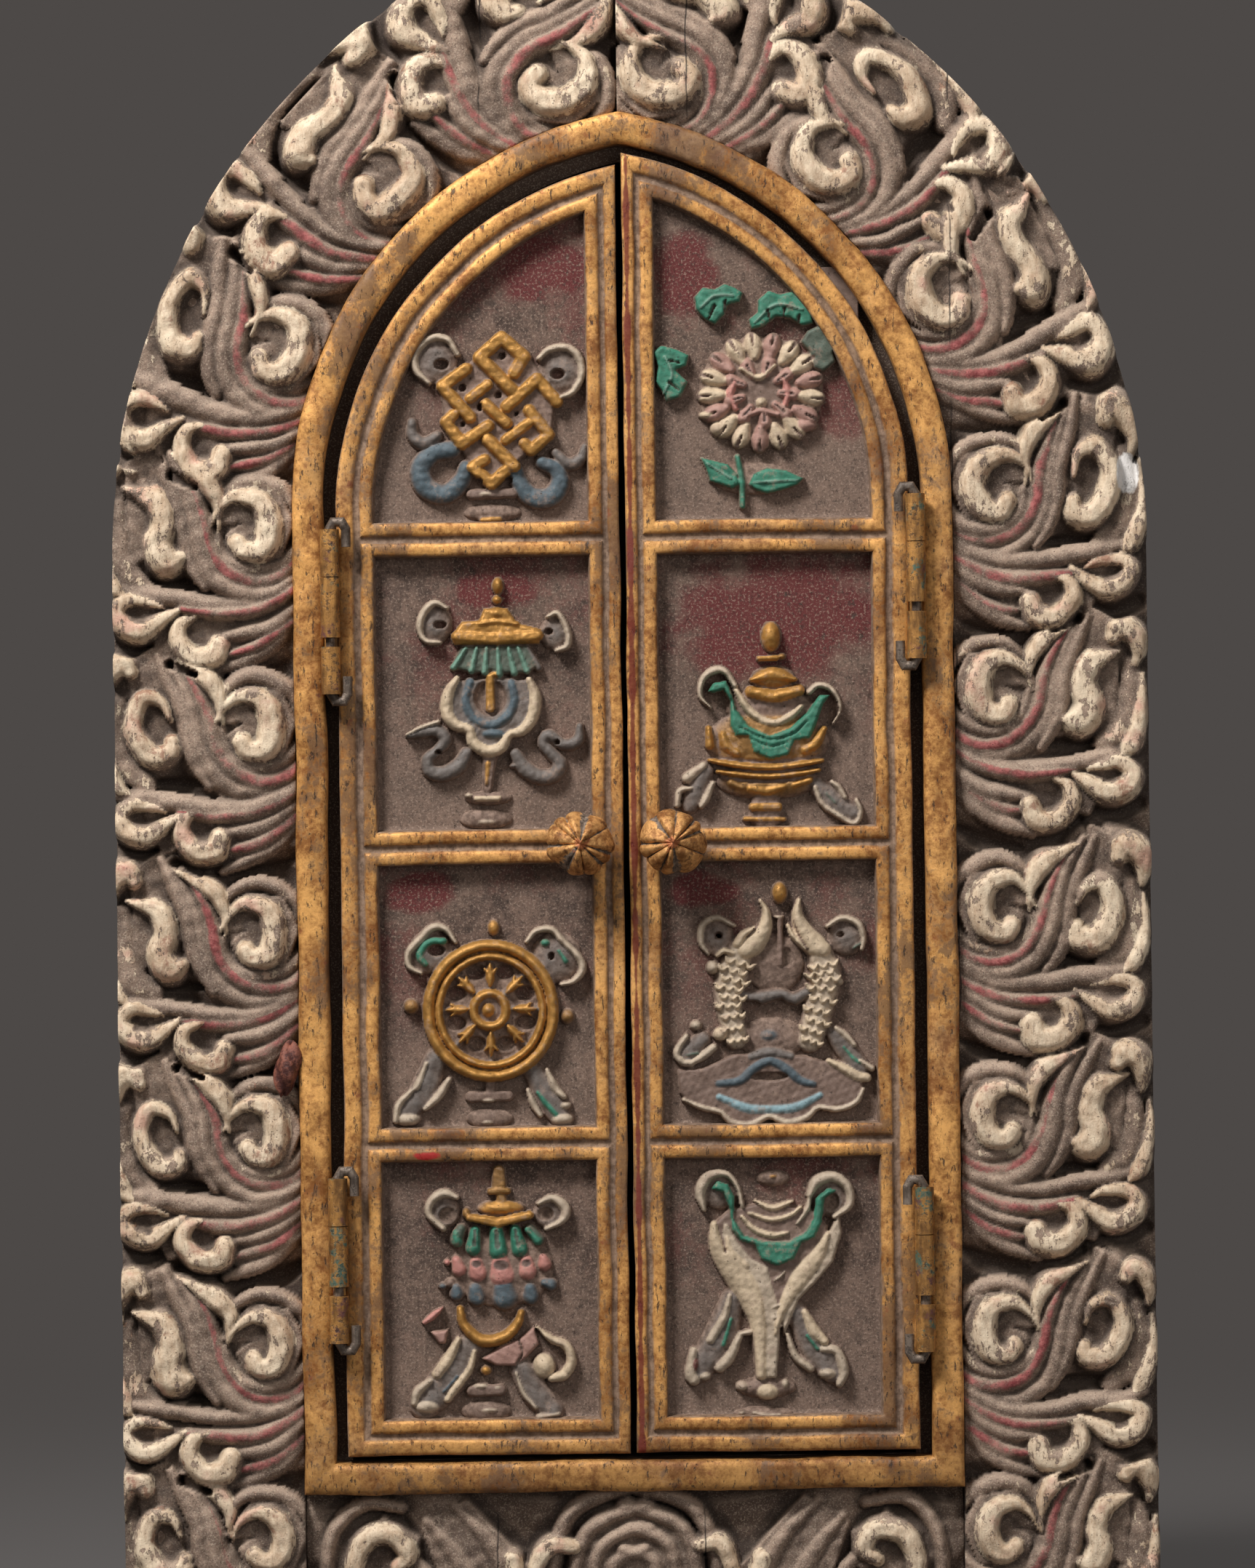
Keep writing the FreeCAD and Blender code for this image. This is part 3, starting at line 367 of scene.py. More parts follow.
# One unit: its kind of stroke, then (across from the rim, up from the volute's centre, half
# width, height)
UNIT = [
    ("mass", [(15, 1, 15, 10.4), (12, -4, 15, 10.4)]),
    ("mass", [(40, 22, 5, 9), (34, 6, 9, 9.8), (28, -9, 10, 10), (14, -19, 10, 9.6),
              (-2, -18, 9, 9)]),
    ("mass", [(50, 20, 9, 8.6), (46, 2, 12, 9.2), (44, -8, 9, 8.8)]),
    ("mass", [(54, -27, 7, 8.6), (40, -30, 9, 9.2), (22, -33, 10, 9.4), (-2, -27, 9, 8.6)]),
    ("mass", [(22, -40, 7, 8), (8, -37, 7, 7.6), (-2, -35, 6, 7)]),
    ("ground", [(0, 26, 2.6, 1.5), (7, 22, 4.4, 1), (15, 20, 3.4, 1), (20, 19.4, 2, 2)]),
    ("ground", [(30, -17.6, 1.8, 3), (35, -17, 2.8, 1.8), (43, -17.4, 2.4, 2),
                (49, -17.6, 1.6, 3.5)]),
    ("ground", [(43, -38.4, 2, 2.4), (51, -40, 3, 1.4), (59, -37, 3.4, 1.4)]),
    ("ground", [(31, -46, 1.4, 4), (39, -43, 2.2, 2.4)]),
    ("ground", [(52, 9, 1.2, 4), (53.4, 1, 1.8, 4), (53, -7, 1.6, 4)]),
    ("collar", [(23, 8.6, 1.1, 11.6), (19.6, 13, 2, 12.4), (13, 15.2, 2.3, 12.4),
                (5, 13.4, 2.4, 12), (-0.6, 8, 2.1, 11), (-1.5, 2, 1.6, 10)]),
    ("collar", [(24, -1, 1, 12), (22.8, -7.4, 2, 12.4), (18, -12, 2.3, 12.6),
                (11, -13.6, 2.3, 12.2), (4, -11.4, 2.2, 11.4), (-1.5, -6.6, 1.9, 10)]),
    ("rose_flute", [(35.4, 18.8, 0.9, 11.6), (30.6, 11, 1.7, 13), (27.6, 3, 2.2, 13.6),
                    (25.8, -5.6, 2.4, 13.6), (20.6, -13.4, 2.5, 13.2), (12.6, -17.4, 2.5, 12.4),
                    (4, -16.4, 2.3, 11.4), (-1.5, -12, 2, 10)]),
    ("flute", [(40, 21.6, 1.1, 11.4), (35, 13, 2, 12.8), (31.4, 3, 2.5, 13.6),
               (30, -5.6, 2.7, 13.8), (25.4, -15, 2.8, 13.4), (16.6, -20.8, 2.6, 12.6),
               (7, -20.4, 2.3, 11.6), (1, -17, 1.6, 10.4)]),
    ("flute", [(44, 23.4, 1.3, 11), (39.4, 14, 2.1, 12.2), (35, 4, 2.5, 13), (34, -5, 2.4, 13),
               (31, -13.4, 2, 12.6), (27.4, -18.6, 1.4, 12)]),
    ("flute", [(57, -19.6, 1.6, 10.6), (48, -21.4, 2.4, 12), (38, -22.8, 2.5, 12.6),
               (27, -24.6, 2.5, 13), (14, -24, 2.4, 12.4), (5, -20.4, 2.3, 11.4),
               (-1.5, -16.2, 2, 10)]),
    ("rose_flute", [(37, -27.4, 1.5, 12), (25.4, -28.9, 2.2, 13.2), (14.6, -28.2, 2.4, 12.8),
                    (5.4, -24.4, 2.3, 11.6), (-1.5, -20, 2, 10)]),
    ("flute", [(23, -33.6, 1.4, 12), (15, -33, 2.3, 12.6), (8, -30.6, 2.3, 11.8),
               (1.6, -26, 2, 10.6), (-1.5, -23.4, 1.7, 9.6)]),
    ("rose_flute", [(20.4, -39.4, 1.3, 11.6), (14, -38, 2.2, 11.8), (7.6, -34.8, 2.3, 11),
                    (-1.5, -27.6, 2, 9)]),
    ("flute", [(24, -46, 1.2, 10.2), (16, -43, 2.2, 11), (9, -39.4, 2.4, 10.4),
               (3, -34.6, 2.1, 9.4), (-1.5, -30.4, 1.7, 8.4)]),
    ("edge_leaf", [(55.6, 7, 1.8, 9), (56, -4, 2.6, 9.8), (53, -13, 2.8, 10.2),
                   (47, -18.4, 2, 10.2)]),
    ("crest", [(39.4, 21.4, 0.8, 12.2), (33.6, 18.6, 2.4, 13.8), (27.8, 15.2, 3.8, 14.8),
               (24.2, 10.2, 3, 14.6), (23.8, 5, 1.5, 13.8), (23.4, 0.4, 0.7, 12.8)]),
    ("curl", [(58.4, 7.6, 1.6, 10.2), (59.2, 12, 3, 12), (57.4, 17.4, 4.6, 13.6),
              (53.6, 19.4, 4.8, 14.2), (51.4, 16.6, 3.4, 13.6)]),
    ("crescent", [(60.4, 4, 1, 10), (60.4, -4, 1.8, 10.8), (59.2, -12, 2.8, 11.8),
                  (56.8, -18.4, 3, 12), (53.6, -21.4, 1.2, 11.4)]),
    ("cup", [(37, -27, 1.3, 12.2), (42, -30.2, 2.8, 13.4), (48, -33.6, 4, 14.2),
             (54, -32, 4, 14.2), (56.4, -27.2, 3.4, 13.4), (52.6, -23.8, 3, 13),
             (46, -24.4, 2.1, 12.6), (42, -25.8, 1, 11.8)]),
    ("cup", [(31, -28, 1.3, 12.6), (35.8, -30.4, 3, 13.6), (36.6, -35.6, 3.7, 14.2),
             (32, -40.6, 4.3, 14.6), (25.6, -40.8, 4.6, 14.8), (23.6, -36.4, 4, 14.6)]),
    ("slit", [(48, -29.4, 1, 10.8), (51, -28.6, 1.4, 10.8)]),
    ("slit", [(29.6, -33.4, 1.5, 10.4), (30, -36.4, 1.1, 10.8)]),
]
LOBES = [
    [(53.4, 11.6, 0.9, 11.6), (48.4, 9.6, 2.6, 13), (43.4, 7.4, 4.4, 14), (41.4, 1, 4.6, 14.2),
     (42.8, -5, 5.2, 14.2), (40.4, -10, 5.4, 14.2), (36.4, -9.6, 3, 13.6)],
    [(39, 1.6, 0.9, 12.6), (41.6, 7.4, 2.2, 13.2), (47.6, 8.6, 3.2, 13.8), (50.6, 2.4, 3.5, 14),
     (49.4, -4, 4, 14.2), (45, -9.4, 4.4, 14.2), (39.4, -9, 4, 14), (38.4, -5.6, 2.8, 13.6)],
]
VOLUTE = [(23.4, 0, 0.6, 12.8), (21, 5.2, 1.6, 14), (15.8, 8.8, 3, 15), (9.4, 7.2, 4.4, 15.8),
          (6.8, 0.6, 4.9, 16), (9, -5.8, 4.8, 15.8), (13.8, -7, 4.2, 15.4), (15.8, -4.6, 3.8, 15.2)]

# How sharply each kind of stroke stands up, and its shares of cream and of red paint. The
# lowest share of its height, at which a stroke starts, is high for the soft flutes.
STROKES = {"mass": (0, 2.0, 0.0, 0.05), "ground": (0, 0, 0.0, 0.0), "flute": (0.76, 0.8, 0.0, 0.3),
           "rose_flute": (0.76, 0.8, 0.0, 1.0), "collar": (0.76, 0.8, 0.3, 0.2),
           "edge_leaf": (0.84, 1.4, 0.35, 0.2), "crest": (0, 0.5, 1.0, 0.45), "slit": (0, 0, 0.0, 0.4),
           "lobe": (0, 0.7, 1.0, 0.35), "curl": (0, 0.6, 1.0, 0.2), "crescent": (0, 0.6, 1.0, 0.15),
           "cup": (0, 0.6, 1.0, 0.4), "ring": (0.6, 0.6, 0.1, 0.2), "arc": (0.6, 0.8, 0.05, 0.8),
           "volute": (0, 0.4, 1.0, 0.15)}
# The flutes lie against one another, and each painted form is wider than the paint left on it
WIDER = {"flute": 1.3, "rose_flute": 1.25, "collar": 1.3, "edge_leaf": 1.6, "crest": 1.3, "curl": 1.25,
         "cup": 1.3, "lobe": 1.3, "crescent": 1.35, "ground": 0.85, "mass": 1.12}
LEFT_UNITS = [-18.0, 44.8, 107.1, 174.4, 237.9, 303.9, 367.4, 425.7, 488.9, 553.0]
RIGHT_UNITS = [-18.0, 44.8, 108.4, 176.9, 242.9, 312.6, 377.4, 441.9, 497.8, 558.0]


class Carving:
    """A sheet of heights over a grid, raised stroke by stroke. A stroke's height falls off
    with the distance from its curve: as a round bar does, or as a low dome on the share of
    its height at which it starts. Strokes blend where they meet, as carved valleys do."""

    def __init__(self, across, up, level):
        self.across, self.up = across, up
        self.height = np.full_like(across, level)
        self.cream = np.zeros_like(across)
        self.red = np.zeros_like(across)

    def stroke(self, kind, rows):
        """Raises or sinks one stroke along a smooth curve through its rows."""
        start_share, blend, cream, red = STROKES[kind]
        path = spline(rows, 40)
        reach = path[:, 2].max() + 2
        low, high = path[:, :2].min(0) - reach, path[:, :2].max(0) + reach
        near = ((self.across > low[0]) & (self.across < high[0])
                & (self.up > low[1]) & (self.up < high[1]))
        if not near.any():
            return
        spots = np.column_stack([self.across[near], self.up[near]])
        start, run = path[:-1, :2], np.diff(path[:, :2], axis=0)
        length = np.maximum((run**2).sum(1), 1e-9)
        off = spots[:, None] - start[None]
        share = np.clip((off * run[None]).sum(2) / length, 0, 1)
        gap = np.hypot(*np.moveaxis(off - share[..., None] * run[None], 2, 0))
        half = path[:-1, 2] + share * np.diff(path[:, 2])
        best = np.argmin(gap - half, axis=1)
        pick = np.arange(len(spots)), best
        ratio = np.clip(gap[pick] / np.maximum(half[pick], 0.05), 0, 1)
        tall = path[best, 3] + share[pick] * np.diff(path[:, 3])[best]
        inside = 1 - ratio**2.2
        before = self.height[near]
        if kind in ("ground", "slit"):
            share = inside ** (0.6 if kind == "slit" else 1.0)
            self.height[near] = before + (np.minimum(tall, before) - before) * share
            self.cream[near] += (cream - self.cream[near]) * share
            self.red[near] += (red - self.red[near]) * share
            return
        dome = inside if start_share else np.clip(inside * 1.08, 0, 1) ** 0.52
        rise = np.where(ratio < 1, tall * (start_share + (1 - start_share) * dome), 0)
        mixed = np.clip(0.5 + (rise - before) / (2 * blend), 0, 1)
        self.height[near] = before + (rise - before) * mixed + blend * mixed * (1 - mixed)
        won = mixed * (inside > 0.02)
        top = np.clip((inside - 0.05) / 0.8, 0, 1)
        flank = inside if red == 1 else np.clip(1 - np.abs(inside - 0.25) / 0.4, 0, 1)
        self.cream[near] += (cream * top - self.cream[near]) * won
        self.red[near] += (red * flank - self.red[near]) * won


def depth_inside(x, z, corners):
    """How far every place lies inside an outline, in millimetres, and negative outside. A
    place is inside when a line drawn from it crosses the outline an odd number of times."""
    nearest = np.full_like(x, 99.0)
    crossings = np.zeros(x.shape, bool)
    for (x0, z0), (x1, z1) in zip(corners, np.roll(corners, -1, 0)):
        along, rise = x1 - x0, z1 - z0
        share = np.clip(((x - x0) * along + (z - z0) * rise) / max(along**2 + rise**2, 1e-9), 0, 1)
        nearest = np.minimum(nearest, np.hypot(x - x0 - share * along, z - z0 - share * rise))
        meets = (z0 > z) != (z1 > z)
        crossings ^= meets & (x < x0 + (z - z0) * along / (rise if rise else 1e-9))
    return np.where(crossings, nearest, -nearest)


def uneven(x, z, scale, seed):
    """A smooth unevenness between -1 and 1: a sum of a few waves in different directions."""
    chance = np.random.default_rng(seed)
    total = np.zeros_like(x)
    for turn, phase, size in zip(chance.uniform(0, 2 * np.pi, 7), chance.uniform(0, 6, 7),
                                 chance.uniform(0.6, 1.7, 7)):
        total += np.sin((x * np.cos(turn) + z * np.sin(turn)) * size / scale + phase)
    return total / 4


def place_piece(name, points, faces, tones, material, body):
    """Makes a piece from points in millimetres, with its tone attribute, on its body."""
    mesh = bpy.data.meshes.new(name)
    mesh.from_pydata((points * MM).tolist(), [], faces)
    attribute = mesh.color_attributes.new("tone", "FLOAT_COLOR", "POINT")
    attribute.data.foreach_set("color", tones.astype(np.float32).ravel())
    mesh.shade_smooth()
    mesh.materials.append(material)
    piece = bpy.data.objects.new(name, mesh)
    bpy.context.collection.objects.link(piece)
    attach(piece, body)
    return piece


def sheet_mesh(name, x, z, height, tone, ground, foot, material, body):
    """Makes a closed piece from a sheet of heights over a ground plane: the top grid, walls
    down to a plane that lies foot millimetres under the ground, and that plane as one face."""
    rows, columns = x.shape
    top = np.stack([x, ground - height, z], axis=-1).reshape(-1, 3)
    number = np.arange(rows * columns).reshape(rows, columns)
    a, b = number[:-1, :-1].ravel(), number[:-1, 1:].ravel()
    c, d = number[1:, 1:].ravel(), number[1:, :-1].ravel()
    edge = np.concatenate([number[0, :-1], number[:-1, -1], number[-1, :0:-1], number[:0:-1, 0]])
    under = top[edge].copy()
    under[:, 1] = ground + foot
    low = rows * columns + np.arange(len(edge))
    after, low_after = np.roll(edge, -1), np.roll(low, -1)
    quads = np.concatenate([np.column_stack([a, b, c, d]),
                            np.column_stack([edge, low, low_after, after])])
    corners = top[quads[0]]
    turn = np.cross(corners[1] - corners[0], corners[3] - corners[0])
    faces = quads.tolist() + [low[::-1].tolist()]
    if turn[1] > 0:
        faces = [face[::-1] for face in faces]
    tones = np.concatenate([tone.reshape(-1, 4), tone[0, 0] * np.ones((len(under), 4))])
    place_piece(name, np.concatenate([top, under]), faces, tones, material, body)


def scroll_sheet(name, x, z, carving):
    """The scroll carving's sheet: its tone holds cream, red and how deep in a groove a place is,
    which is how far it lies under the mean of the places around it. The finish paints that depth as
    shade."""
    level = carving.height
    painted_shade_depth = np.zeros_like(level)
    for shift in (2, 4, 9):
        around = (np.roll(level, shift, 0) + np.roll(level, -shift, 0)
                  + np.roll(level, shift, 1) + np.roll(level, -shift, 1)) / 4
        painted_shade_depth = np.maximum(painted_shade_depth, (around - level) / (0.7 + 0.3 * shift))
    groove = np.clip(painted_shade_depth, 0, 1)
    tone = np.stack([carving.cream, carving.red, groove, np.ones_like(level)], axis=-1)
    sheet_mesh(name, x, z, level, tone, GROUND_Y, 2.0, carved_finish, "cabinet")


# The panel's own outline, and the sheet's first reach and the size of its squares
PANEL_SPRING = 358.0
PANEL_RADIUS = 215.0
BAND_REACH = 58.0
SHEET_STEP = 0.68
PANEL_CENTRE = PANEL_RADIUS - PANEL_HALF


def band_point(across, up, side):
    """Bends (across, up) millimetres onto the band beside the window: straight up the jamb,
    then round the arch's own centre above the springing line."""
    angle = np.clip((up - SPRING) / SCROLL_RADIUS, 0, None)
    radius = OUTER_RADIUS + across
    x = np.where(up > SPRING, ARCH_CENTRE - radius * np.cos(angle), -HALF_OUT - across)
    z = np.where(up > SPRING, SPRING + radius * np.sin(angle), up)
    return x * -side + WINDOW_X, z


def band_grid(side):
    """The grid of one side: across from the rim to the panel's outline, and up from the
    floor to the middle plane of the arch. The outline is where the line across meets the
    panel's straight edge or its arc."""
    rows = int((SPRING + SCROLL_RADIUS * 1.35) / SHEET_STEP)
    columns = int(60 / SHEET_STEP)
    share = np.linspace(0, 1, columns)[None, :]
    climb = np.linspace(0, 1, rows)[:, None]
    across = share * BAND_REACH * np.ones_like(climb)
    for _ in range(4):
        top = SPRING + SCROLL_RADIUS * np.arccos(ARCH_CENTRE / (OUTER_RADIUS + across))
        up = climb * top
        angle = np.clip((up - SPRING) / SCROLL_RADIUS, 0, None)
        way = np.stack([side * np.cos(angle), np.sin(angle)])
        start_x = np.where(up > SPRING, WINDOW_X - side * ARCH_CENTRE, WINDOW_X)
        start_z = np.where(up > SPRING, SPRING, up)
        reach = np.where(up > SPRING, OUTER_RADIUS, HALF_OUT)
        to_x, to_z = start_x + side * PANEL_CENTRE, start_z - PANEL_SPRING
        along = way[0] * to_x + way[1] * to_z
        arc = -along + np.sqrt(np.maximum(along**2 - to_x**2 - to_z**2 + PANEL_RADIUS**2, 0))
        straight = (PANEL_HALF - side * start_x) / np.maximum(np.abs(way[0]), 1e-6)
        edge = np.where(start_z + straight * way[1] < PANEL_SPRING, straight, arc)
        across = share * (edge - reach - 0.3)
    return across, up


# The outlines of the solid forms that the boards already have under the carving: the volute
# and the others, across and up from each scroll's place, and their heights
CORES = [
    (11.0, [(24, 2), (16, 12), (5, 10), (0.5, 1), (5, -9), (17, -11), (20, -3), (11, 3)]),
    (9.0, [(37, 20), (35, -8), (20, -25), (0.5, -23), (0.5, -12), (18, -14), (27, 4)]),
    (9.0, [(43, 25), (52, 20), (50, -10), (40, -4)]),
    (9.0, [(47, -28), (42, -39), (33, -36), (36, -27)]),
    (9.0, [(27, -28), (25, -40), (15, -42), (15, -32)]),
]


def cover(height, across, up, level, corners):
    """Lifts a sheet clear of a solid form: 0.5 mm over it, from 1.2 mm outside its outline,
    and down to nothing on a slope beyond that."""
    gap = depth_inside(across, up, np.array(corners, float)) + 2.2
    lift = (level + 0.5) * np.clip(gap, 0, 1) ** 0.5
    return np.where(gap > 0, np.maximum(height, lift), height)


def cover_cores(x, z, height, side, starts):
    """Covers the solid forms of one side. Each scroll's forms keep their shape, and are
    turned as a whole where it stands on the arch."""
    for start in starts:
        turn = max(start - SPRING, 0) / SCROLL_RADIUS
        if start > SPRING:
            from_x = WINDOW_X + side * (OUTER_RADIUS * np.cos(turn) - ARCH_CENTRE)
            from_z = SPRING + OUTER_RADIUS * np.sin(turn)
        else:
            from_x, from_z = WINDOW_X + side * HALF_OUT, start
        beside, above = (x - from_x) * side, z - from_z
        across = beside * np.cos(turn) + above * np.sin(turn)
        up = above * np.cos(turn) - beside * np.sin(turn)
        near = (np.abs(up) < 46) & (across > -5) & (across < 58)
        for level, corners in CORES:
            height[near] = cover(height[near], across[near], up[near], level, corners)


def carve_side(name, side, starts, seed):
    """Raises every unit of one side, each a little different as hand work is. The volutes
    grow from the foot to the arch."""
    chance = np.random.default_rng(seed)
    across, up = band_grid(side)
    x, z = band_point(across, up, side)
    z = np.minimum(z, PANEL_TOP - 0.05)
    carving = Carving(across, up, 4.6 + 0.9 * uneven(x, z, 5.0, seed))
    for place, start in enumerate(starts):
        for kind, rows in UNIT + [("lobe", LOBES[(place + (side > 0)) % 2])]:
            rows = np.array(rows, float) + [0, start, 0, 0]
            rows[:, :2] += chance.normal(0, 0.25, (len(rows), 2)) + chance.normal(0, 0.5, 2)
            rows[:, 2] *= WIDER.get(kind, 1.0) * (1 + chance.normal(0, 0.08))
            rows[:, 3] *= 1 + chance.normal(0, 0.03)
            carving.stroke(kind, rows)
        grown = np.interp(start, [40, 240, 560], [1.0, 1.08, 1.2])
        volute = np.array(VOLUTE, float)
        volute[:, :2] = (volute[:, :2] - [13, 1]) * grown + [13 * grown**0.7, 1 + start]
        volute[:, 2] *= grown * 1.16
        volute[:, :2] += chance.normal(0, 0.25, (len(VOLUTE), 2))
        carving.stroke("volute", volute)
    cover_cores(x, z, carving.height, side, starts[1:])
    rough = 0.26 * uneven(x, z, 1.3, seed + 1) + 0.4 * uneven(x, z, 3.2, seed + 2)
    carving.height += rough * np.clip(carving.height / 6, 0, 1)
    scroll_sheet(name, x, z, carving)


carve_side("carving_left", -1, LEFT_UNITS, 4)
carve_side("carving_right", 1, RIGHT_UNITS, 9)


# The carving under the sill
# The same scrolls laid flat and mirrored about the middle, with a fan of arcs at the centre.
BASE_UNIT = [
    ("mass", [(100, 44, 12, 6), (84, 36, 15, 8.4), (78, 18, 12, 7)]),
    ("mass", [(62, 52, 12, 8), (52, 32, 13, 8.6), (46, 8, 10, 7.6)]),
    ("mass", [(0, 30, 24, 8), (0, 14, 22, 6.5)]),
    ("mass", [(62, 8, 10, 7), (30, 8, 12, 7)]),
    ("ground", [(100, 56, 3, 2), (92, 57, 3, 2), (78, 58, 2, 2.5)]),
    ("ground", [(26, 57, 2.5, 2), (36, 58, 3, 2), (45, 59, 2, 2)]),
    ("ground", [(70, 26, 1.5, 3), (64, 22, 2.4, 3)]),
    ("flute", [(58, 55, 1.8, 9.4), (48, 45, 3, 10.4), (41, 33, 3.4, 10.8), (35, 20, 3, 9.8)]),
    ("flute", [(66, 50, 2, 9.6), (56, 38, 3.2, 10.6), (49, 24, 3.4, 10.8), (43, 10, 2.8, 9.6)]),
    ("flute", [(73, 40, 1.8, 9.2), (64, 29, 2.8, 10), (57, 15, 3, 10), (52, 3, 2.4, 8.8)]),
    ("ring", [(74, 54, 2, 9.6), (86, 55.6, 2.6, 10.6), (96, 47, 2.8, 10.8), (98, 34, 2.6, 10.2),
              (94, 22, 2.2, 9)]),
    ("curl", [(77, 17, 2, 9.6), (85, 24, 3.4, 11.4), (89.4, 34, 4.4, 13), (86, 43.6, 5, 13.8),
              (77.6, 46, 5, 13.8), (72.6, 40, 4.6, 13.2), (76.4, 35.4, 3.4, 12.6)]),
    ("lobe", [(38.4, 30, 4.2, 12.2), (39.6, 37, 4.6, 12.6)]),
    ("cup", [(31.4, 26, 3.2, 11.4), (31, 34.6, 3.8, 12), (26.6, 42, 4.4, 12.8),
             (19.6, 41, 3.4, 12)]),
    ("arc", [(26.6, 16, 2.6, 8.6), (26.4, 33.6, 3, 10), (19, 52.6, 3, 10.4), (0, 60, 3, 10.4),
             (-4, 59.8, 3, 10.4)]),
    ("arc", [(20, 14, 2.4, 8.6), (19.6, 33.6, 3, 10.2), (14, 47.4, 3.1, 10.8),
             (0, 53.2, 3.1, 10.8), (-4, 53, 3.1, 10.8)]),
    ("arc", [(13.6, 12, 2.4, 8.6), (13, 33.6, 3, 10.4), (9.2, 42.6, 3.1, 11), (0, 46.6, 3.1, 11),
             (-4, 46.2, 3.1, 11)]),
    ("arc", [(7, 12, 2.4, 8.6), (6.6, 33, 3, 10.6), (4.2, 38, 3.1, 11), (-3, 40, 3.1, 11)]),
    ("cup", [(66, 5, 3, 10.4), (60, 10, 3.8, 11.6), (62, 17.6, 4, 12), (69, 17, 3.4, 11.4)]),
    ("cup", [(23, 4, 3, 10.4), (26.6, 10.6, 3.6, 11.4), (33, 11, 3.8, 11.6), (36, 5, 3, 10.6)]),
]
BASE_CORES = [
    [(-21, 20), (-19, 42), (-8, 52), (8, 52), (19, 42), (21, 20), (12, 20), (7, 36), (-7, 36),
     (-12, 20)],
    [(79, 16), (90, 30), (90, 44), (80, 50), (70, 44), (72, 34), (80, 37)],
    [(54, 55), (67, 48), (53, 8), (42, 12), (31, 30)],
    [(60, 5), (71, 10), (68, 20), (58, 16)],
    [(24, 4), (36, 5), (34, 14), (26, 13)],
]


def carve_base():
    """The band under the sill, from jamb to jamb."""
    low, high = RIM_OUT[-1] + 0.1, RIM_OUT[1] - 0.1
    x, z = np.meshgrid(np.linspace(low, high, 340), np.linspace(0.0, SILL_TOP - RIM_FACE, 96))
    chance = np.random.default_rng(21)
    carving = Carving(x, z, 3.6 + 0.9 * uneven(x, z, 5.0, 6))
    for side in (-1, 1):
        for kind, rows in BASE_UNIT:
            rows = np.array(rows, float)
            rows[:, 0] = rows[:, 0] * side + WINDOW_X
            rows[:, :2] += chance.normal(0, 0.4, (len(rows), 2))
            carving.stroke(kind, rows)
        for corners in BASE_CORES:
            carving.height[:] = cover(carving.height, (x - WINDOW_X) * side, z, 8.0, corners)
    carving.height += 0.28 * uneven(x, z, 1.3, 7)
    scroll_sheet("carving_base", x, z, carving)


carve_base()


# The gilded rim round the window
# A round-fronted moulding, one ring with mitred lower corners and a crease at the apex. Its
# gold is dull and mottled, rubbed to dark bole in places, and dust lies along its foot.
RIM_DEPTH = GROUND_Y - RIM_FRONT_Y


class Shell:
    """Gathers closed surfaces into one mesh, each with its faces turned outwards."""

    def __init__(self):
        self.points, self.faces, self.tones, self.count = [], [], [], 0

    def add(self, grid, wrap=(False, True), tone=(0, 0, 0, 1)):
        """A grid of points. wrap says which of its two ways joins up again, and where the
        first doesn't, a face closes each end. The sum of the tetrahedra between the faces
        and the origin is the volume, and it is negative where the faces point inwards."""
        rows, columns = grid.shape[:2]
        number = np.arange(rows * columns).reshape(rows, columns)
        beside, above = np.roll(number, -1, 1), np.roll(number, -1, 0)
        quads = np.stack([number, beside, np.roll(beside, -1, 0), above], axis=-1)
        quads = quads[: rows if wrap[0] else rows - 1, : columns if wrap[1] else columns - 1]
        quads = quads.reshape(-1, 4)
        corners = grid.reshape(-1, 3)
        a, b, c, d = (corners[quads[:, k]] for k in range(4))
        volume = (a * np.cross(b, c)).sum() + (a * np.cross(c, d)).sum()
        faces = quads.tolist()
        if not wrap[0]:
            for ring in (number[0][::-1], number[-1]):
                rim = corners[ring]
                middle = rim.mean(0)
                volume += (middle * np.cross(rim, np.roll(rim, -1, 0))).sum()
                faces.append(ring.tolist())
        if volume < 0:
            faces = [face[::-1] for face in faces]
        self.points.append(corners)
        self.faces += [[corner + self.count for corner in face] for face in faces]
        self.tones.append(np.broadcast_to(tone, (*grid.shape[:2], 4)).reshape(-1, 4))
        self.count += len(corners)

    def build(self, name, material, body, nodes=(), crease=40):
        """Makes the piece. Edges sharper than crease degrees stay sharp."""
        piece = place_piece(name, np.concatenate(self.points), self.faces,
                            np.concatenate(self.tones), material, body)
        piece.data.set_sharp_from_angle(angle=math.radians(crease))
        if nodes:
            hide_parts(*nodes)


PANEL_FEET = (82.7, 175.5, 270.0, 368.0)
# Patches of dark red on the panels' ground: across, up, half width and half height
RED_PATCHES = [(47, 337, 36, 22), (-28, 449, 20, 12), (19, 446, 12, 16), (68, 402, 10, 12),
               (-68, 250, 12, 7), (22, 250, 12, 6), (-42, 346, 14, 6)]
# A dab of red paint on a bead, and the red meeting edge of the right leaf
DAB_X, DAB_Z = -67, 166.6
EDGE_X = 0.2
# How far behind a leaf's front the panels' ground begins
FLOOR_FROM = 4.6


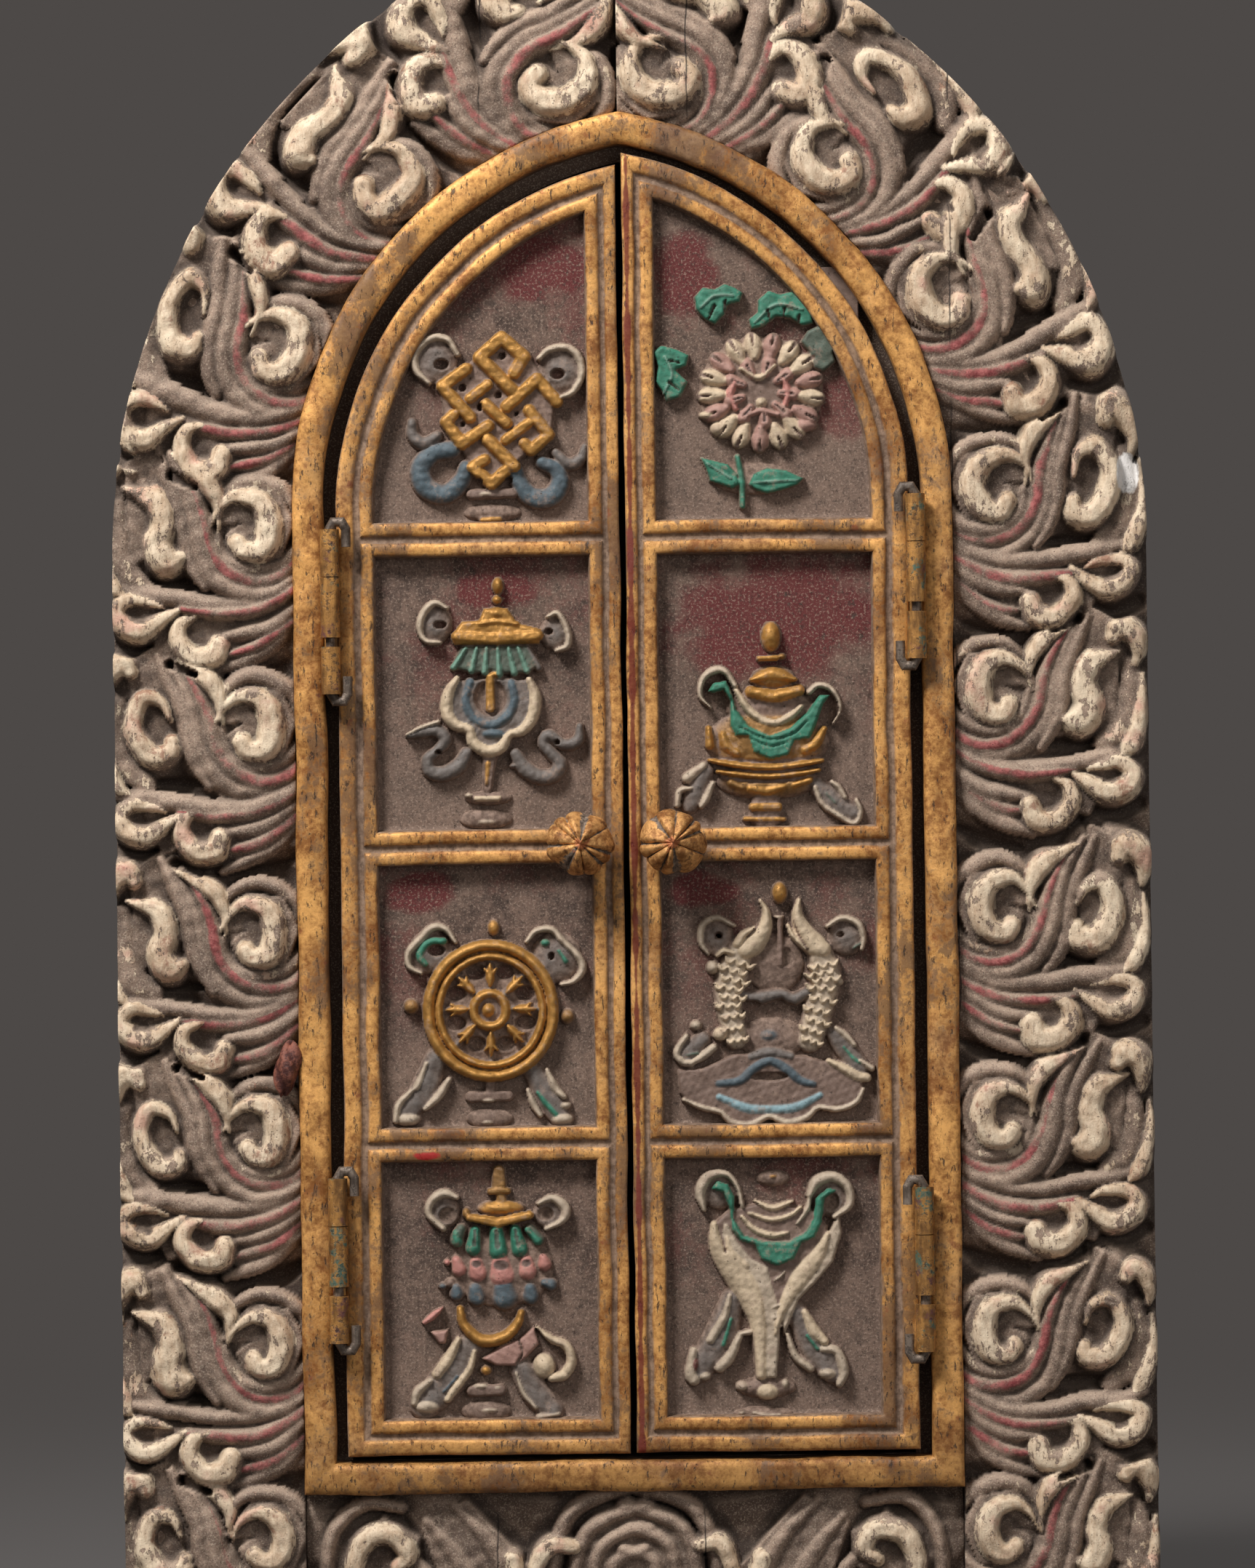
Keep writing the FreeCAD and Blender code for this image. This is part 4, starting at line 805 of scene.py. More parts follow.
def panel_ground(place, fine, cloud):
    """The ground of a leaf's panels, and its grit: brown under dust, which lies thickest at
    the foot of each panel, with patches of dark red showing through."""
    x, y, z = coordinates(place)
    settled = z * 0
    for low in PANEL_FEET:
        settled = settled + (z - low).step(-2, 0) * (1 - (z - low).step(8, 62))
    red = place.noise(24, 5, 0.6, shift=(1, 5, 9)) + fine * 0.35
    red = (red.step(0.66, 0.84) * 0.6) * (1 - settled)
    for across, up, wide, tall in RED_PATCHES:
        off = ((x - across) / wide).power(2) + ((z - up) / tall).power(2)
        red = red.largest((1 - (off + cloud * 2.4 - 1.2).step(0.4, 1.2)) * 0.9)
    ground = (fine * 0.55 + cloud * 0.5).step(0.35, 0.7)
    ground = ground.mixed(rgb(66, 50, 42), rgb(124, 100, 86))
    ground = (red * fine.step(0.3, 0.44)).mixed(ground, rgb(98, 34, 34))
    ground = (settled * 0.35).mixed(ground, rgb(140, 117, 101))
    grit = place.noise(1200, 4, 0.7)
    ground = (grit.step(0.52, 0.62) * 0.5).mixed(ground, rgb(172, 148, 130))
    dark = place.noise(1000, 3, 0.7, shift=(4, 2, 8)).step(0.56, 0.64)
    return (dark * 0.55).mixed(ground, rgb(50, 38, 31)), grit


def gilding(name, front, dust_from, dust_to, back=None):
    """Old gold over dark bole. Depth is measured back from the front: dust thickens between
    dust_from and dust_to millimetres. With a back it is a leaf's finish: its panels have a
    painted ground and its reverse, at back, is bare planed wood."""
    material, shader, place = new_finish(name)
    x, y, z = coordinates(place)
    depth = y - front
    cloud = place.noise(70, 5, 0.6)
    fine = place.noise(420, 6, 0.68)
    scratch = place.noise(800, 5, 0.7, (1, 1, 0.3))
    gold = (cloud * 0.5 + fine * 0.55).step(0.38, 0.66).mixed(rgb(144, 90, 42), rgb(246, 184, 106))
    rubbed = (place.noise(30, 6, 0.72, (1, 1, 0.5), (6, 1, 3)) + fine * 0.5).step(0.76, 0.86)
    gold = (rubbed * 0.8).mixed(gold, rgb(92, 62, 40))
    bole = place.noise(120, 5, 0.65, shift=(2, 8, 4)).step(0.6, 0.72)
    gold = (bole * 0.7).mixed(gold, rgb(138, 62, 40))
    # Painted shade and wear: the gold darkens below 92 mm, most below 64 mm, for the light from above
    # and the heavier wear low down
    gold = ((1 - z.step(64, 92)) * 0.4).mixed(gold, rgb(84, 54, 30))
    specks = scratch.step(0.58, 0.66)
    gold = (specks * 0.85).mixed(gold, rgb(48, 34, 25))
    wear = fine * 0.7 + cloud * 0.5
    dust_share = (depth + wear * 1.2 - 0.7).step(dust_from, dust_to)
    film = place.noise(38, 5, 0.6, shift=(7, 3, 1)).step(0.5, 0.74) * 0.35
    dust_colour = fine.step(0.35, 0.68).mixed(rgb(96, 76, 62), rgb(148, 122, 102))
    dust_share = (dust_share * 0.92).largest(film)
    colour = dust_share.mixed(gold, dust_colour)
    metal = (1 - dust_share) * (1 - rubbed) * (1 - specks) * 0.4
    height = fine * 0.5 + scratch * 0.25 - specks * 0.3 + cloud * 0.4
    if back is not None:
        sunk = depth.step(FLOOR_FROM, FLOOR_FROM + 0.8)
        ground, grit = panel_ground(place, fine, cloud)
        plank = plank_grain(place, cloud, rgb(62, 44, 34), rgb(122, 90, 66))[1]
        reverse = (y - back).step(-1.2, -0.4)
        ground = reverse.mixed(ground, (film * 1.4).mixed(plank, dust_colour))
        colour = sunk.mixed(colour, ground)
        metal = metal * (1 - sunk)
        height = height + sunk * grit * 0.6
        dab = ((x - DAB_X) * 0.18).power(2) + ((z - DAB_Z) * 0.6).power(2) + fine * 1.6
        colour = (1 - dab.step(1.1, 1.6)).mixed(colour, rgb(172, 44, 38))
        strip = (x - EDGE_X).maths("ABSOLUTE") + cloud * 3 - 1.5
        colour = ((1 - strip.step(0.5, 1.1)) * 0.85).mixed(colour, rgb(116, 36, 30))
    finish(shader, colour, 0.5 + dust_share * 0.3 + fine * 0.12, height, 0.4, metal)
    return material


rim_gilding = gilding("rim_gilding", RIM_FRONT_Y, 4.0, 12.5)


def around_window(offset):
    """Points round the window at each of the given offsets outwards from the opening: from
    the middle of the sill to its left corner, up the jamb and over the arc to the apex, and
    the mirror of this back down. The arc's last angle is the one at which that offset's
    circle meets the middle plane, so every profile ends in that plane."""
    half = HALF_OUT - RIM_FACE + offset
    low = SILL_TOP - offset
    radius = OUTER_RADIUS - RIM_FACE + offset
    run = np.linspace(0, 1, 70, endpoint=False)[:, None]
    climb = np.linspace(0, 1, 170, endpoint=False)[:, None]
    turn = np.linspace(0, 1, 90)[:, None] * np.arccos(ARCH_CENTRE / radius)
    x = np.concatenate([-half * run, -half + 0 * climb, ARCH_CENTRE - radius * np.cos(turn)])
    z = np.concatenate([low + 0 * run, low + (SPRING - low) * climb,
                        SPRING + radius * np.sin(turn)])
    return np.concatenate([x, -x[-2:0:-1]]) + WINDOW_X, np.concatenate([z, z[-2:0:-1]])


def make_rim():
    """The ring's profile is a box whose front is a dome of a super-ellipse: the shoulder's
    sine and cosine are raised to small powers."""
    angle = np.linspace(np.pi, 0, 15)
    dome_across = RIM_FACE / 2 * (1 + np.sign(np.cos(angle)) * np.abs(np.cos(angle)) ** 0.6)
    dome_rise = RIM_DEPTH - 3.4 + 3.2 * np.sin(angle) ** 0.7
    offset = np.concatenate([[0, 0, 0], dome_across, [RIM_FACE, RIM_FACE, RIM_FACE]])
    rise = np.concatenate([[-1.5, 3, 8], dome_rise, [8, 3, -1.5]])
    x, z = around_window(offset)
    lift = 0.3 * uneven(x, z, 4.0, 31) + 0.25 * uneven(x, z, 1.6, 32)
    y = GROUND_Y - rise - lift * (rise / RIM_DEPTH)
    x = x + 0.32 * uneven(x, z, 7.0, 33) + 0.12 * uneven(x, z, 1.8, 35)
    z = z + 0.32 * uneven(x, z, 7.0, 34) + 0.12 * uneven(x, z, 1.8, 36)
    shell = Shell()
    shell.add(np.stack([x, y, z], axis=-1), (True, True))
    shell.build("rim", rim_gilding, "cabinet",
                ("rim_jamb_left", "rim_jamb_right", "rim_arch_left", "rim_arch_right",
                 "rim_sill"), 60)


make_rim()


# The door leaves
# Each is one plank with four sunk panels cut into it. A groove runs inside a raised border,
# and each panel has its own rounded gilded bead, with a steep wall down to a dusty ground.
LEAF_FRONT, LEAF_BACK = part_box("door_left")[0][1] / MM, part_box("door_left")[1][1] / MM
LEAF_WIDTH = (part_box("door_left")[1][0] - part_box("door_left")[0][0]) / MM
LEAF_ARC = OUTER_RADIUS - RIM_FACE - 4
# Where the groove runs inside the border, the heights between panels and the panels' depth
GROOVE_IN = {"hinge": 6.5, "meeting": 4.6, "foot": 6.0}
LEVELS = (170.0, 264.5, 362.5)
PANEL_DEPTH = 6.0

door_gilding = gilding("door_gilding", LEAF_FRONT, 0.35, 1.5, LEAF_BACK)


def leaf_ring(hinge, meeting, low, spring, high=None, arc=None):
    """Closed rings of (across, up) on a leaf, across being measured from the hinge edge:
    along the foot, up the meeting side, over the straight or arched top and down the hinge
    side. The arc's first angle is the one at which its circle meets the meeting side."""
    run = np.linspace(0, 1, 44, endpoint=False)
    climb = np.linspace(0, 1, 56, endpoint=False)
    far = LEAF_WIDTH - meeting
    if arc is not None:
        turn = np.arccos((LEAF_ARC - far) / arc) * (1 - run)
        top_across, top_up = LEAF_ARC - arc * np.cos(turn), spring + arc * np.sin(turn)
        corner, shoulder = spring + np.sqrt(arc**2 - (LEAF_ARC - far) ** 2), spring + 0 * hinge
    else:
        top_across, top_up = far + (hinge - far) * run, high + 0 * far * run
        corner, shoulder = high, high
    across = np.concatenate([hinge + (far - hinge) * run, far + 0 * climb, top_across,
                             hinge + 0 * climb], axis=1)
    up = np.concatenate([low + 0 * run, low + (corner - low) * climb, top_up,
                         shoulder + (low - shoulder) * climb], axis=1)
    return across, up


def make_leaf(side, seed):
    """The border is a closed profile carried round the leaf, and each panel is a profile from
    its back over groove, bead, wall and floor, carried round the panel and drawn in."""
    node = f"door_{side}"
    lowest, highest = (np.array(corner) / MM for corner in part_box(node))
    toward = 1 if side == "left" else -1
    hinge_x = lowest[0] if side == "left" else highest[0]
    spring = highest[2] - math.sqrt(LEAF_ARC**2 - (LEAF_ARC - LEAF_WIDTH) ** 2)
    foot = lowest[2]
    thick = LEAF_BACK - LEAF_FRONT
    shell = Shell()

    def lay(across, up, depth):
        """Points on this leaf, uneven at the front and true at the back."""
        x, z = hinge_x + toward * across, up
        y = LEAF_FRONT + depth
        live = np.clip(1 - depth / 6, 0, 1)
        y = y + live * (0.16 * uneven(x, z, 5.0, seed) + 0.1 * uneven(x, z, 1.7, seed + 1) + 0.18)
        x = x + 0.3 * live * uneven(x, z, 8.0, seed + 2) + 0.1 * live * uneven(x, z, 2.0, seed + 4)
        z = z + 0.3 * live * uneven(x, z, 8.0, seed + 3) + 0.1 * live * uneven(x, z, 2.0, seed + 5)
        return np.stack([x, y, z], axis=-1)

    share = np.array([0, 0, 0, 0.03, 0.1, 0.22, 0.45, 0.66, 0.76, 0.83, 0.89, 0.94, 1, 1])[:, None]
    depth = np.array([thick, 6, 1.5, 0.75, 0.25, 0.02, 0, 0.08, 0.35, 0.85, 1.3, 1.45, 1.5, thick])
    bevel = np.array([2.0, 0.9, 0.15] + [0] * 11)[:, None]
    across, up = leaf_ring(share * GROOVE_IN["hinge"], share * GROOVE_IN["meeting"] + bevel,
                           foot + share * GROOVE_IN["foot"], spring,
                           arc=LEAF_ARC - share * GROOVE_IN["hinge"])
    shell.add(lay(across, up, depth[:, None] + 0 * across), (True, True))

    inset = np.array([0, 0, 0.55, 0.9, 1.2, 1.6, 2.2, 3.2, 4.2, 4.8, 5.15, 5.4, 5.5, 5.6, 5.75,
                      6.1, 7.2])
    depth = np.array([thick, 1.5, 1.42, 1.2, 0.75, 0.32, 0.08, 0, 0.08, 0.35, 0.8, 1.5, 2.6, 4.4,
                      5.4, 5.9, PANEL_DEPTH])
    edges = [foot + GROOVE_IN["foot"], *LEVELS, None]
    for low, high in zip(edges[:-1], edges[1:]):
        rows = inset[:, None]
        across, up = leaf_ring(GROOVE_IN["hinge"] + rows, GROOVE_IN["meeting"] + rows, low + rows,
                               spring, high=None if high is None else high - rows,
                               arc=None if high else LEAF_ARC - GROOVE_IN["hinge"] - rows)
        middle = np.array([across[-1].mean(), up[-1].mean()])
        shrink = np.array([0.8, 0.55, 0.3, 0.06])[:, None]
        across = np.concatenate([across, middle[0] + (across[-1] - middle[0]) * shrink])
        up = np.concatenate([up, middle[1] + (up[-1] - middle[1]) * shrink])
        sunk = np.concatenate([depth, [PANEL_DEPTH] * len(shrink)])[:, None]
        shell.add(lay(across, up, sunk + 0 * across), (False, True))
    shell.build(f"leaf_{side}", door_gilding, f"{side}_door", (node,), 50)


make_leaf("left", 41)
make_leaf("right", 51)


# The lump beside the left jamb
# A drop of old resin or wax, brown red and rough, that hardened where it ran.
def make_lump():
    """A ball drawn out along Z, with its radius made uneven and its back sunk in the board."""
    turn, rise = np.meshgrid(np.linspace(0, 2 * np.pi, 48, endpoint=False),
                             np.linspace(-1.5, 1.5, 32))
    size = 1 + 0.12 * uneven(turn * 3, rise * 6, 1.6, 91) + 0.1 * np.sin(3 * turn + 4 * rise)
    x = 3.9 * np.cos(rise) * np.cos(turn)
    y = 4.0 * np.cos(rise) * np.sin(turn)
    z = 8.4 * np.sin(rise)
    lean = np.radians(12)
    grid = np.stack([x * np.cos(lean) + z * np.sin(lean), y,
                     z * np.cos(lean) - x * np.sin(lean)], axis=-1)
    shell = Shell()
    shell.add(grid * size[..., None] + [-111.0, GROUND_Y - 13.2, 195.0], (False, True))
    material, shader, place = new_finish("old_resin")
    cloud = place.noise(300, 6, 0.7)
    colour = cloud.step(0.4, 0.62).mixed(rgb(70, 30, 24), rgb(142, 84, 66))
    finish(shader, colour, cloud * 0.4 + 0.4, cloud, 0.8)
    shell.build("lump", material, "cabinet")


make_lump()


# The hinges
# Each is a strip of brass rolled round a wire, three knuckles high. It was painted over with
# gold, green and dark red, most of which has flaked, and the wire's ends are bent back.
def hinge_finish(name, bright, dull, flake):
    """Rolled metal under grime, with flake as the share of old paint left on it."""
    material, shader, place = new_finish(name)
    cloud = place.noise(160, 5, 0.65)
    fine = place.noise(700, 6, 0.7)
    rolled = place.noise(420, 5, 0.65, (1, 1, 0.2))
    colour = (cloud * 0.5 + rolled * 0.5).step(0.38, 0.62).mixed(dull, bright)
    green = place.noise(110, 5, 0.6, shift=(3, 6, 1)).step(0.56, 0.62) * fine.step(0.4, 0.52)
    colour = (green * flake).mixed(colour, rgb(60, 96, 84))
    maroon = place.noise(120, 5, 0.6, shift=(8, 2, 5)).step(0.56, 0.63) * fine.step(0.38, 0.55)
    colour = (maroon * flake).mixed(colour, rgb(98, 52, 50))
    grime = (fine * 0.7 + cloud * 0.4).step(0.56, 0.68)
    colour = (grime * 0.85).mixed(colour, rgb(46, 34, 26))
    height = fine * 0.5 + rolled * 0.4 - grime * 0.4
    metal = (1 - grime) * (1 - green) * (1 - maroon) * 0.6
    finish(shader, colour, 0.42 + grime * 0.3 + fine * 0.15, height, 0.35, metal)
    return material


hinge_brass = hinge_finish("hinge_brass", rgb(208, 152, 84), rgb(122, 86, 50), 0.9)
hinge_iron = hinge_finish("hinge_iron", rgb(142, 126, 112), rgb(76, 64, 55), 0.0)
hinge_nodes = [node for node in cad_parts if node.startswith("hinge_")]
coat([node for node in hinge_nodes if node.endswith("_pin")], hinge_iron)
coat([node for node in hinge_nodes if not node.endswith("_pin")], hinge_brass)


# The knobs
# Turned and carved like a small gourd with nine uneven ribs that run to a pinched middle. The
# gold is left on the ribs, and grey dust and bare wood lie between them.
def knob_paint():
    """The finish of a knob: its attribute holds how high on a rib a place is in red, and how
    near the middle in green."""
    material, shader, place = new_finish("knob_paint")
    rib, middle = tone_parts(place, 2)
    cloud = place.noise(180, 5, 0.65)
    fine = place.noise(620, 6, 0.7)
    gold = (cloud * 0.5 + fine * 0.5).step(0.38, 0.62).mixed(rgb(138, 88, 44), rgb(226, 170, 104))
    bole = place.noise(260, 5, 0.65, shift=(4, 4, 1)).step(0.56, 0.66)
    gold = (bole * 0.8).mixed(gold, rgb(92, 54, 32))
    dust = fine.step(0.4, 0.62).mixed(rgb(76, 62, 52), rgb(140, 122, 106))
    share = (rib + fine * 0.9 + place.noise(240, 4, 0.6) - 0.95).step(0.2, 0.4)
    colour = share.mixed(dust, gold)
    chipped = (middle * 0.5 + place.noise(320, 4, 0.6, shift=(2, 2, 2)) * 1.3 - 0.65).step(0.35, 0.5)
    colour = (chipped * 0.8).mixed(colour, rgb(186, 112, 72))
    pits = place.noise(1100, 4, 0.7).step(0.62, 0.7)
    colour = (pits * 0.8).mixed(colour, rgb(42, 28, 20))
    height = fine * 0.6 + cloud * 0.3 - pits * 0.4
    finish(shader, colour, 0.5 + (1 - share) * 0.25 + fine * 0.1, height, 0.5,
           share * (1 - pits) * 0.45)
    return material


knob_finish = knob_paint()


def make_knob(side, seed):
    """A turned profile whose radius swells and falls nine times a turn. A rib's height is the
    cosine of its own angle to a low power, so that the grooves between ribs are narrow."""
    low, high = (np.array(corner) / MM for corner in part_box(f"knob_{side}"))
    chance = np.random.default_rng(seed)
    across, up = (low[0] + high[0]) / 2, (low[2] + high[2]) / 2
    full = (high[0] - low[0]) / 2
    along = np.array([0, 0.1, 0.2, 0.23, 0.27, 0.33, 0.4, 0.48, 0.57, 0.66, 0.75, 0.83, 0.9, 0.95,
                      0.965, 0.955, 0.962, 0.99, 1.0, 1.0])
    radius = np.array([4.2, 4.3, 4.6, 6.4, 8.4, 9.8, 10.6, 11.0, 10.9, 10.2, 9.0, 7.6, 5.9, 4.3, 3.2,
                       2.5, 2.2, 1.9, 1.2, 0.3]) / 11 * full
    turn = np.linspace(0, 2 * np.pi, 144, endpoint=False)
    bend = turn + 0.2 * np.sin(turn * 2 + chance.uniform(0, 6)) + 0.09 * np.sin(turn * 5 + seed)
    narrow = 0.6 + 0.3 * np.sin(turn * 3 + chance.uniform(0, 6))
    rib = np.abs(np.cos(4.5 * bend + chance.uniform(0, 3))) ** narrow
    strength = np.interp(along, [0.2, 0.3, 0.5, 0.9, 0.97, 1], [0, 0.08, 0.1, 0.26, 0.2, 0.1])
    size = radius[:, None] * (1 - strength[:, None] * (1 - rib[None]))
    size = size * (1 + 0.03 * np.sin(turn * 2 + seed) - 0.03
                   + 0.02 * np.sin(turn * 7 + along[:, None] * 6))
    drop = np.interp(along, [0.3, 0.6, 0.93, 1], [0, 0.5, 1.2, 0.4])[:, None] * (1 - rib[None])
    worn = np.interp(along, [0.6, 0.95, 1], [0, 0.7, 0.9])[:, None]
    drop = drop + worn * (1 + np.sin(turn * 2 + 2))
    depth = along[:, None] * (high[1] - low[1]) - drop
    x = across + size * np.cos(turn)
    z = up + size * np.sin(turn)
    y = high[1] - np.clip(depth, 0, None) + 0.12 * uneven(x, z, 1.5, seed)
    y = np.maximum(y, low[1])
    tone = np.zeros((*x.shape, 4))
    tone[..., 0] = np.clip(rib[None] * 1.2 - 0.2, 0, 1)
    tone[..., 1] = np.clip((along[:, None] - 0.9) * 10, 0, 1)
    shell = Shell()
    shell.add(np.stack([x, y, z], axis=-1), (False, True), tone)
    shell.build(f"knob_{side}_gourd", knob_finish, f"{side}_door",
                (f"knob_{side}",), 80)


make_knob("left", 71)
make_knob("right", 72)


# The emblems in the panels
# The eight auspicious emblems, carved from the leaf's own wood between ground and bead, then
# gilded or painted by hand. Paint stays on the high places and dust fills what lies deeper. Their
# holes and deepest hollows are painted near black as shade.
FLOOR_Y = LEAF_FRONT + PANEL_DEPTH
# The spacing of an emblem's points, and its lowest height, out of sight under the ground
EMBLEM_STEP = 0.45
SUNKEN = -0.8
# The dark paint is painted shade: the holes and deep hollows of the pierced carving are sunk places
# painted near black, not cut through
PAINTS = {"gold": (200, 146, 72, 1.0), "brass": (158, 116, 62, 0.8), "dust": (128, 104, 91, 0.0),
          "grime": (104, 82, 74, 0.0), "dark": (22, 16, 13, 0.0), "grey": (112, 104, 98, 0.0),
          "blue": (78, 96, 104, 0.0), "sky": (138, 170, 176, 0.0), "pale": (196, 176, 152, 0.0),
          "cream": (214, 190, 158, 0.0), "rose": (176, 134, 120, 0.0), "pink": (204, 138, 126, 0.0),
          "rust": (112, 58, 52, 0.0), "green": (46, 128, 102, 0.0), "jade": (110, 150, 130, 0.0),
          "moss": (84, 98, 84, 0.0)}


def emblem_paint():
    """The colours come from the relief's own attribute, with gilding in its fourth channel.
    Dust lies over what is near the ground and in patches, and the paint is rubbed and pitted."""
    material, shader, place = new_finish("emblem_paint")
    tone = place.node("ShaderNodeAttribute", attribute_name="tone")
    paint = Value(tone.socket.node.outputs["Color"], place.tree)
    gilt = Value(tone.socket.node.outputs["Alpha"], place.tree)
    rise = FLOOR_Y - coordinates(place)[1]
    cloud = place.noise(90, 5, 0.6)
    fine = place.noise(460, 6, 0.68)
    grit = place.noise(1500, 4, 0.7)
    rub = place.noise(700, 5, 0.7)
    shade = (fine * 0.6 + cloud * 0.5).step(0.34, 0.72)
    worn = paint.node("ShaderNodeMix", {0: 0.42, 6: paint, 7: rgb(74, 56, 44)}, out=2,
                      data_type="RGBA")
    colour = shade.mixed(worn, paint)
    dust_colour = fine.step(0.35, 0.68).mixed(rgb(96, 76, 64), rgb(152, 127, 110))
    low = 1 - (rise + fine * 1.6 - 0.8).step(1.6, 3.9)
    patches = (cloud * 0.6 + fine * 0.5).step(0.56, 0.68)
    dusty = (low * 0.85).largest(patches * 0.6)
    dusty = dusty * (0.25 + rise.step(-0.4, 0.4) * 0.75)
    colour = dusty.mixed(colour, dust_colour)
    pits = rub.step(0.62, 0.7)
    colour = (pits * 0.6).mixed(colour, rgb(52, 40, 32))
    height = fine * 0.5 + grit * 0.3 - pits * 0.3 + cloud * 0.3
    finish(shader, colour, 0.62 + dusty * 0.25 - gilt * 0.1, height, 0.4,
           gilt * (1 - dusty) * (1 - pits) * 0.5)
    return material


emblem_finish = emblem_paint()


class Emblem:
    """A sheet of heights and paint over a small grid, raised stroke by stroke: x and z are
    millimetres from the emblem's middle, and heights are from the panel's ground."""

    def __init__(self, strokes):
        spots = np.array([row[:2] for entry in strokes for row in entry[3]])
        low, high = spots.min(0) - 5, spots.max(0) + 5
        self.x, self.z = np.meshgrid(np.arange(low[0], high[0], EMBLEM_STEP),
                                     np.arange(low[1], high[1], EMBLEM_STEP))
        self.height = np.full_like(self.x, SUNKEN)
        self.tone = np.ones((*self.x.shape, 4)) * paint_of("dust")

    def raise_to(self, inside, tall, tone, blend=0.35):
        """Lifts the sheet to tall times a rounded edge, where inside goes from 0 at the
        stroke's edge to 1, and paints what it lifts."""
        rise = np.where(inside > 0, tall * inside**0.5, SUNKEN)
        mixed = np.clip(0.5 + (rise - self.height) / (2 * blend), 0, 1) * (inside > 0)
        self.height += (rise - self.height) * mixed
        self.tone += (paint_of(tone) - self.tone) * (mixed * (inside > 0.12))[..., None]

    def sink(self, inside, tall, tone):
        """Lowers the sheet to a height where it stands higher, with a flat floor."""
        share = np.clip(inside * 2.5, 0, 1)
        self.height += (np.minimum(self.height, tall) - self.height) * share
        self.tone += (paint_of(tone) - self.tone) * share[..., None]

    def draw(self, kind, tone, tall, rows):
        """Draws one stroke: a patch inside its corners, a mound or pit (x, z, half width, half
        height), or a ridge or bar along rows of (x, z, half width)."""
        rows = np.array(rows, float)
        if kind == "patch":
            inside = np.clip(depth_inside(self.x, self.z, rows) / 1.1, 0, 1)
            inside = 1 - (1 - inside) ** 2
        elif rows.shape[1] == 4:
            ratio = np.hypot((self.x - rows[0, 0]) / rows[0, 2], (self.z - rows[0, 1]) / rows[0, 3])
            inside = np.clip(1 - ratio**2, 0, 1)
        else:
            rows[:, 2] *= 1.0 if kind in ("bar", "sink") else 1.16
            path = spline(rows, 36) if kind != "bar" else rows
            gap = reach_of(self.x, self.z, path)
            inside = np.clip(1 - np.clip(gap, 0, 1) ** (5 if kind == "bar" else 2.2), 0, 1)
        if kind == "sink":
            self.sink(inside, tall, tone)
        else:
            self.raise_to(inside, tall, tone)


def paint_of(tone):
    """A paint's colour, made linear, with its share of gilding."""
    red, green, blue, gilt = PAINTS[tone]
    return np.array([*rgb(red, green, blue)[:3], gilt])


def reach_of(x, z, path):
    """The distance from every place to a path, as a share of the path's half width there."""
    best = np.full_like(x, 9.0)
    for (x0, z0, half0), (x1, z1, half1) in zip(path[:-1], path[1:]):
        along, rise = x1 - x0, z1 - z0
        share = ((x - x0) * along + (z - z0) * rise) / max(along**2 + rise**2, 1e-9)
        share = np.clip(share, 0, 1)
        half = half0 + share * (half1 - half0)
        best = np.minimum(best, np.hypot(x - x0 - share * along, z - z0 - share * rise) / half)
    return best


def stroke_text(kind, tone, tall, *rows):
    """One stroke in the tables' own form, its rows to a tenth of a millimetre."""
    places = (",".join(f"{value:.1f}" for value in row) for row in rows)
    return f"{kind} {tone} {tall} {' '.join(places)};\n"


def ring(tall, x, z, radius_x, radius_z, half, count):
    """A closed gold ridge round an ellipse."""
    turns = np.linspace(0, 2 * math.pi, count + 1)
    return stroke_text("ridge", "gold", tall, *((x + radius_x * math.cos(turn),
                                                 z - radius_z * math.sin(turn), half)
                                                for turn in turns))


def petals():
    """Seventeen notched petals in an outer ring and nine fluted ones in an inner ring."""
    text = ""
    middle = np.array([1.946, 0.8845])
    for number, turn in enumerate(2 * math.pi * (np.arange(17) + 0.35) / 17):
        way = np.array([math.cos(turn), -0.94 * math.sin(turn)])
        petal = [(*(middle + way * reach), half)
                 for reach, half in ((12.383, 1.6), (16.009, 2.9), (17.955, 2.3))]
        text += stroke_text("ridge", "rose" if number % 3 == 1 else "cream", 4.6, *petal)
        root = np.round(middle, 1)
        tip = np.round(petal[-1][:2], 1) - root
        text += stroke_text("sink", "dust", 3.2, (*(root + tip * 0.9), 0.3),
                            (*(root + tip * 1.13), 0.8))
    for turn in 2 * math.pi * (np.arange(9) + 0.1) / 9:
        way = np.array([math.cos(turn), -math.sin(turn)])
        root, tip, end = (middle + way * reach
                          for reach in ((6.1915, 5.8377), (10.437, 9.7295), (9.9064, 9.1988)))
        text += stroke_text("ridge", "rose", 5.1, (*root, 1.3), (*tip, 2.3))
        text += stroke_text("sink", "grime", 4.3, (*root, 0.3), (*end, 0.5))
    return text


def spokes():
    """Eight gaps painted dark as shade, then eight spokes, each with a swelling and a barbed point.
    A row's place is its reach across, its reach down, the height of its middle and a step aside."""
    text = ""
    for turn in np.radians(np.arange(22.5, 360, 45)):
        text += stroke_text("sink", "dark", -0.5, (0.147 + 11.938 * math.cos(turn),
                                                   4.79 - 12.38 * math.sin(turn), 3.4, 2.5))
    parts = (("grey", 3.2, ((5.527, 5.527, 4.569, 0, 1.3), (15.107, 15.623, 4.422, 0, 1.2))),
             ("gold", 4.8, ((7.664, 7.664, 4.569, 0, 0.7), (10.317, 10.464, 4.495, 0, 1.5),
                            (14.149, 14.591, 4.422, 0, 0.4))),
             ("gold", 4.5, ((12.675, 12.97, 4.422, -1.916, 0.4), (10.759, 10.98, 4.422, 0, 0.9),
                            (12.675, 12.97, 4.422, 1.916, 0.4))))
    for turn in np.radians(np.arange(0, 360, 45)):
        along, rise = math.cos(turn), math.sin(turn)
        for tone, tall, rows in parts:
            text += stroke_text("ridge", tone, tall, *(
                (0.147 + across * along + aside * rise, level - down * rise + aside * along, half)
                for across, down, level, aside, half in rows))
    return text


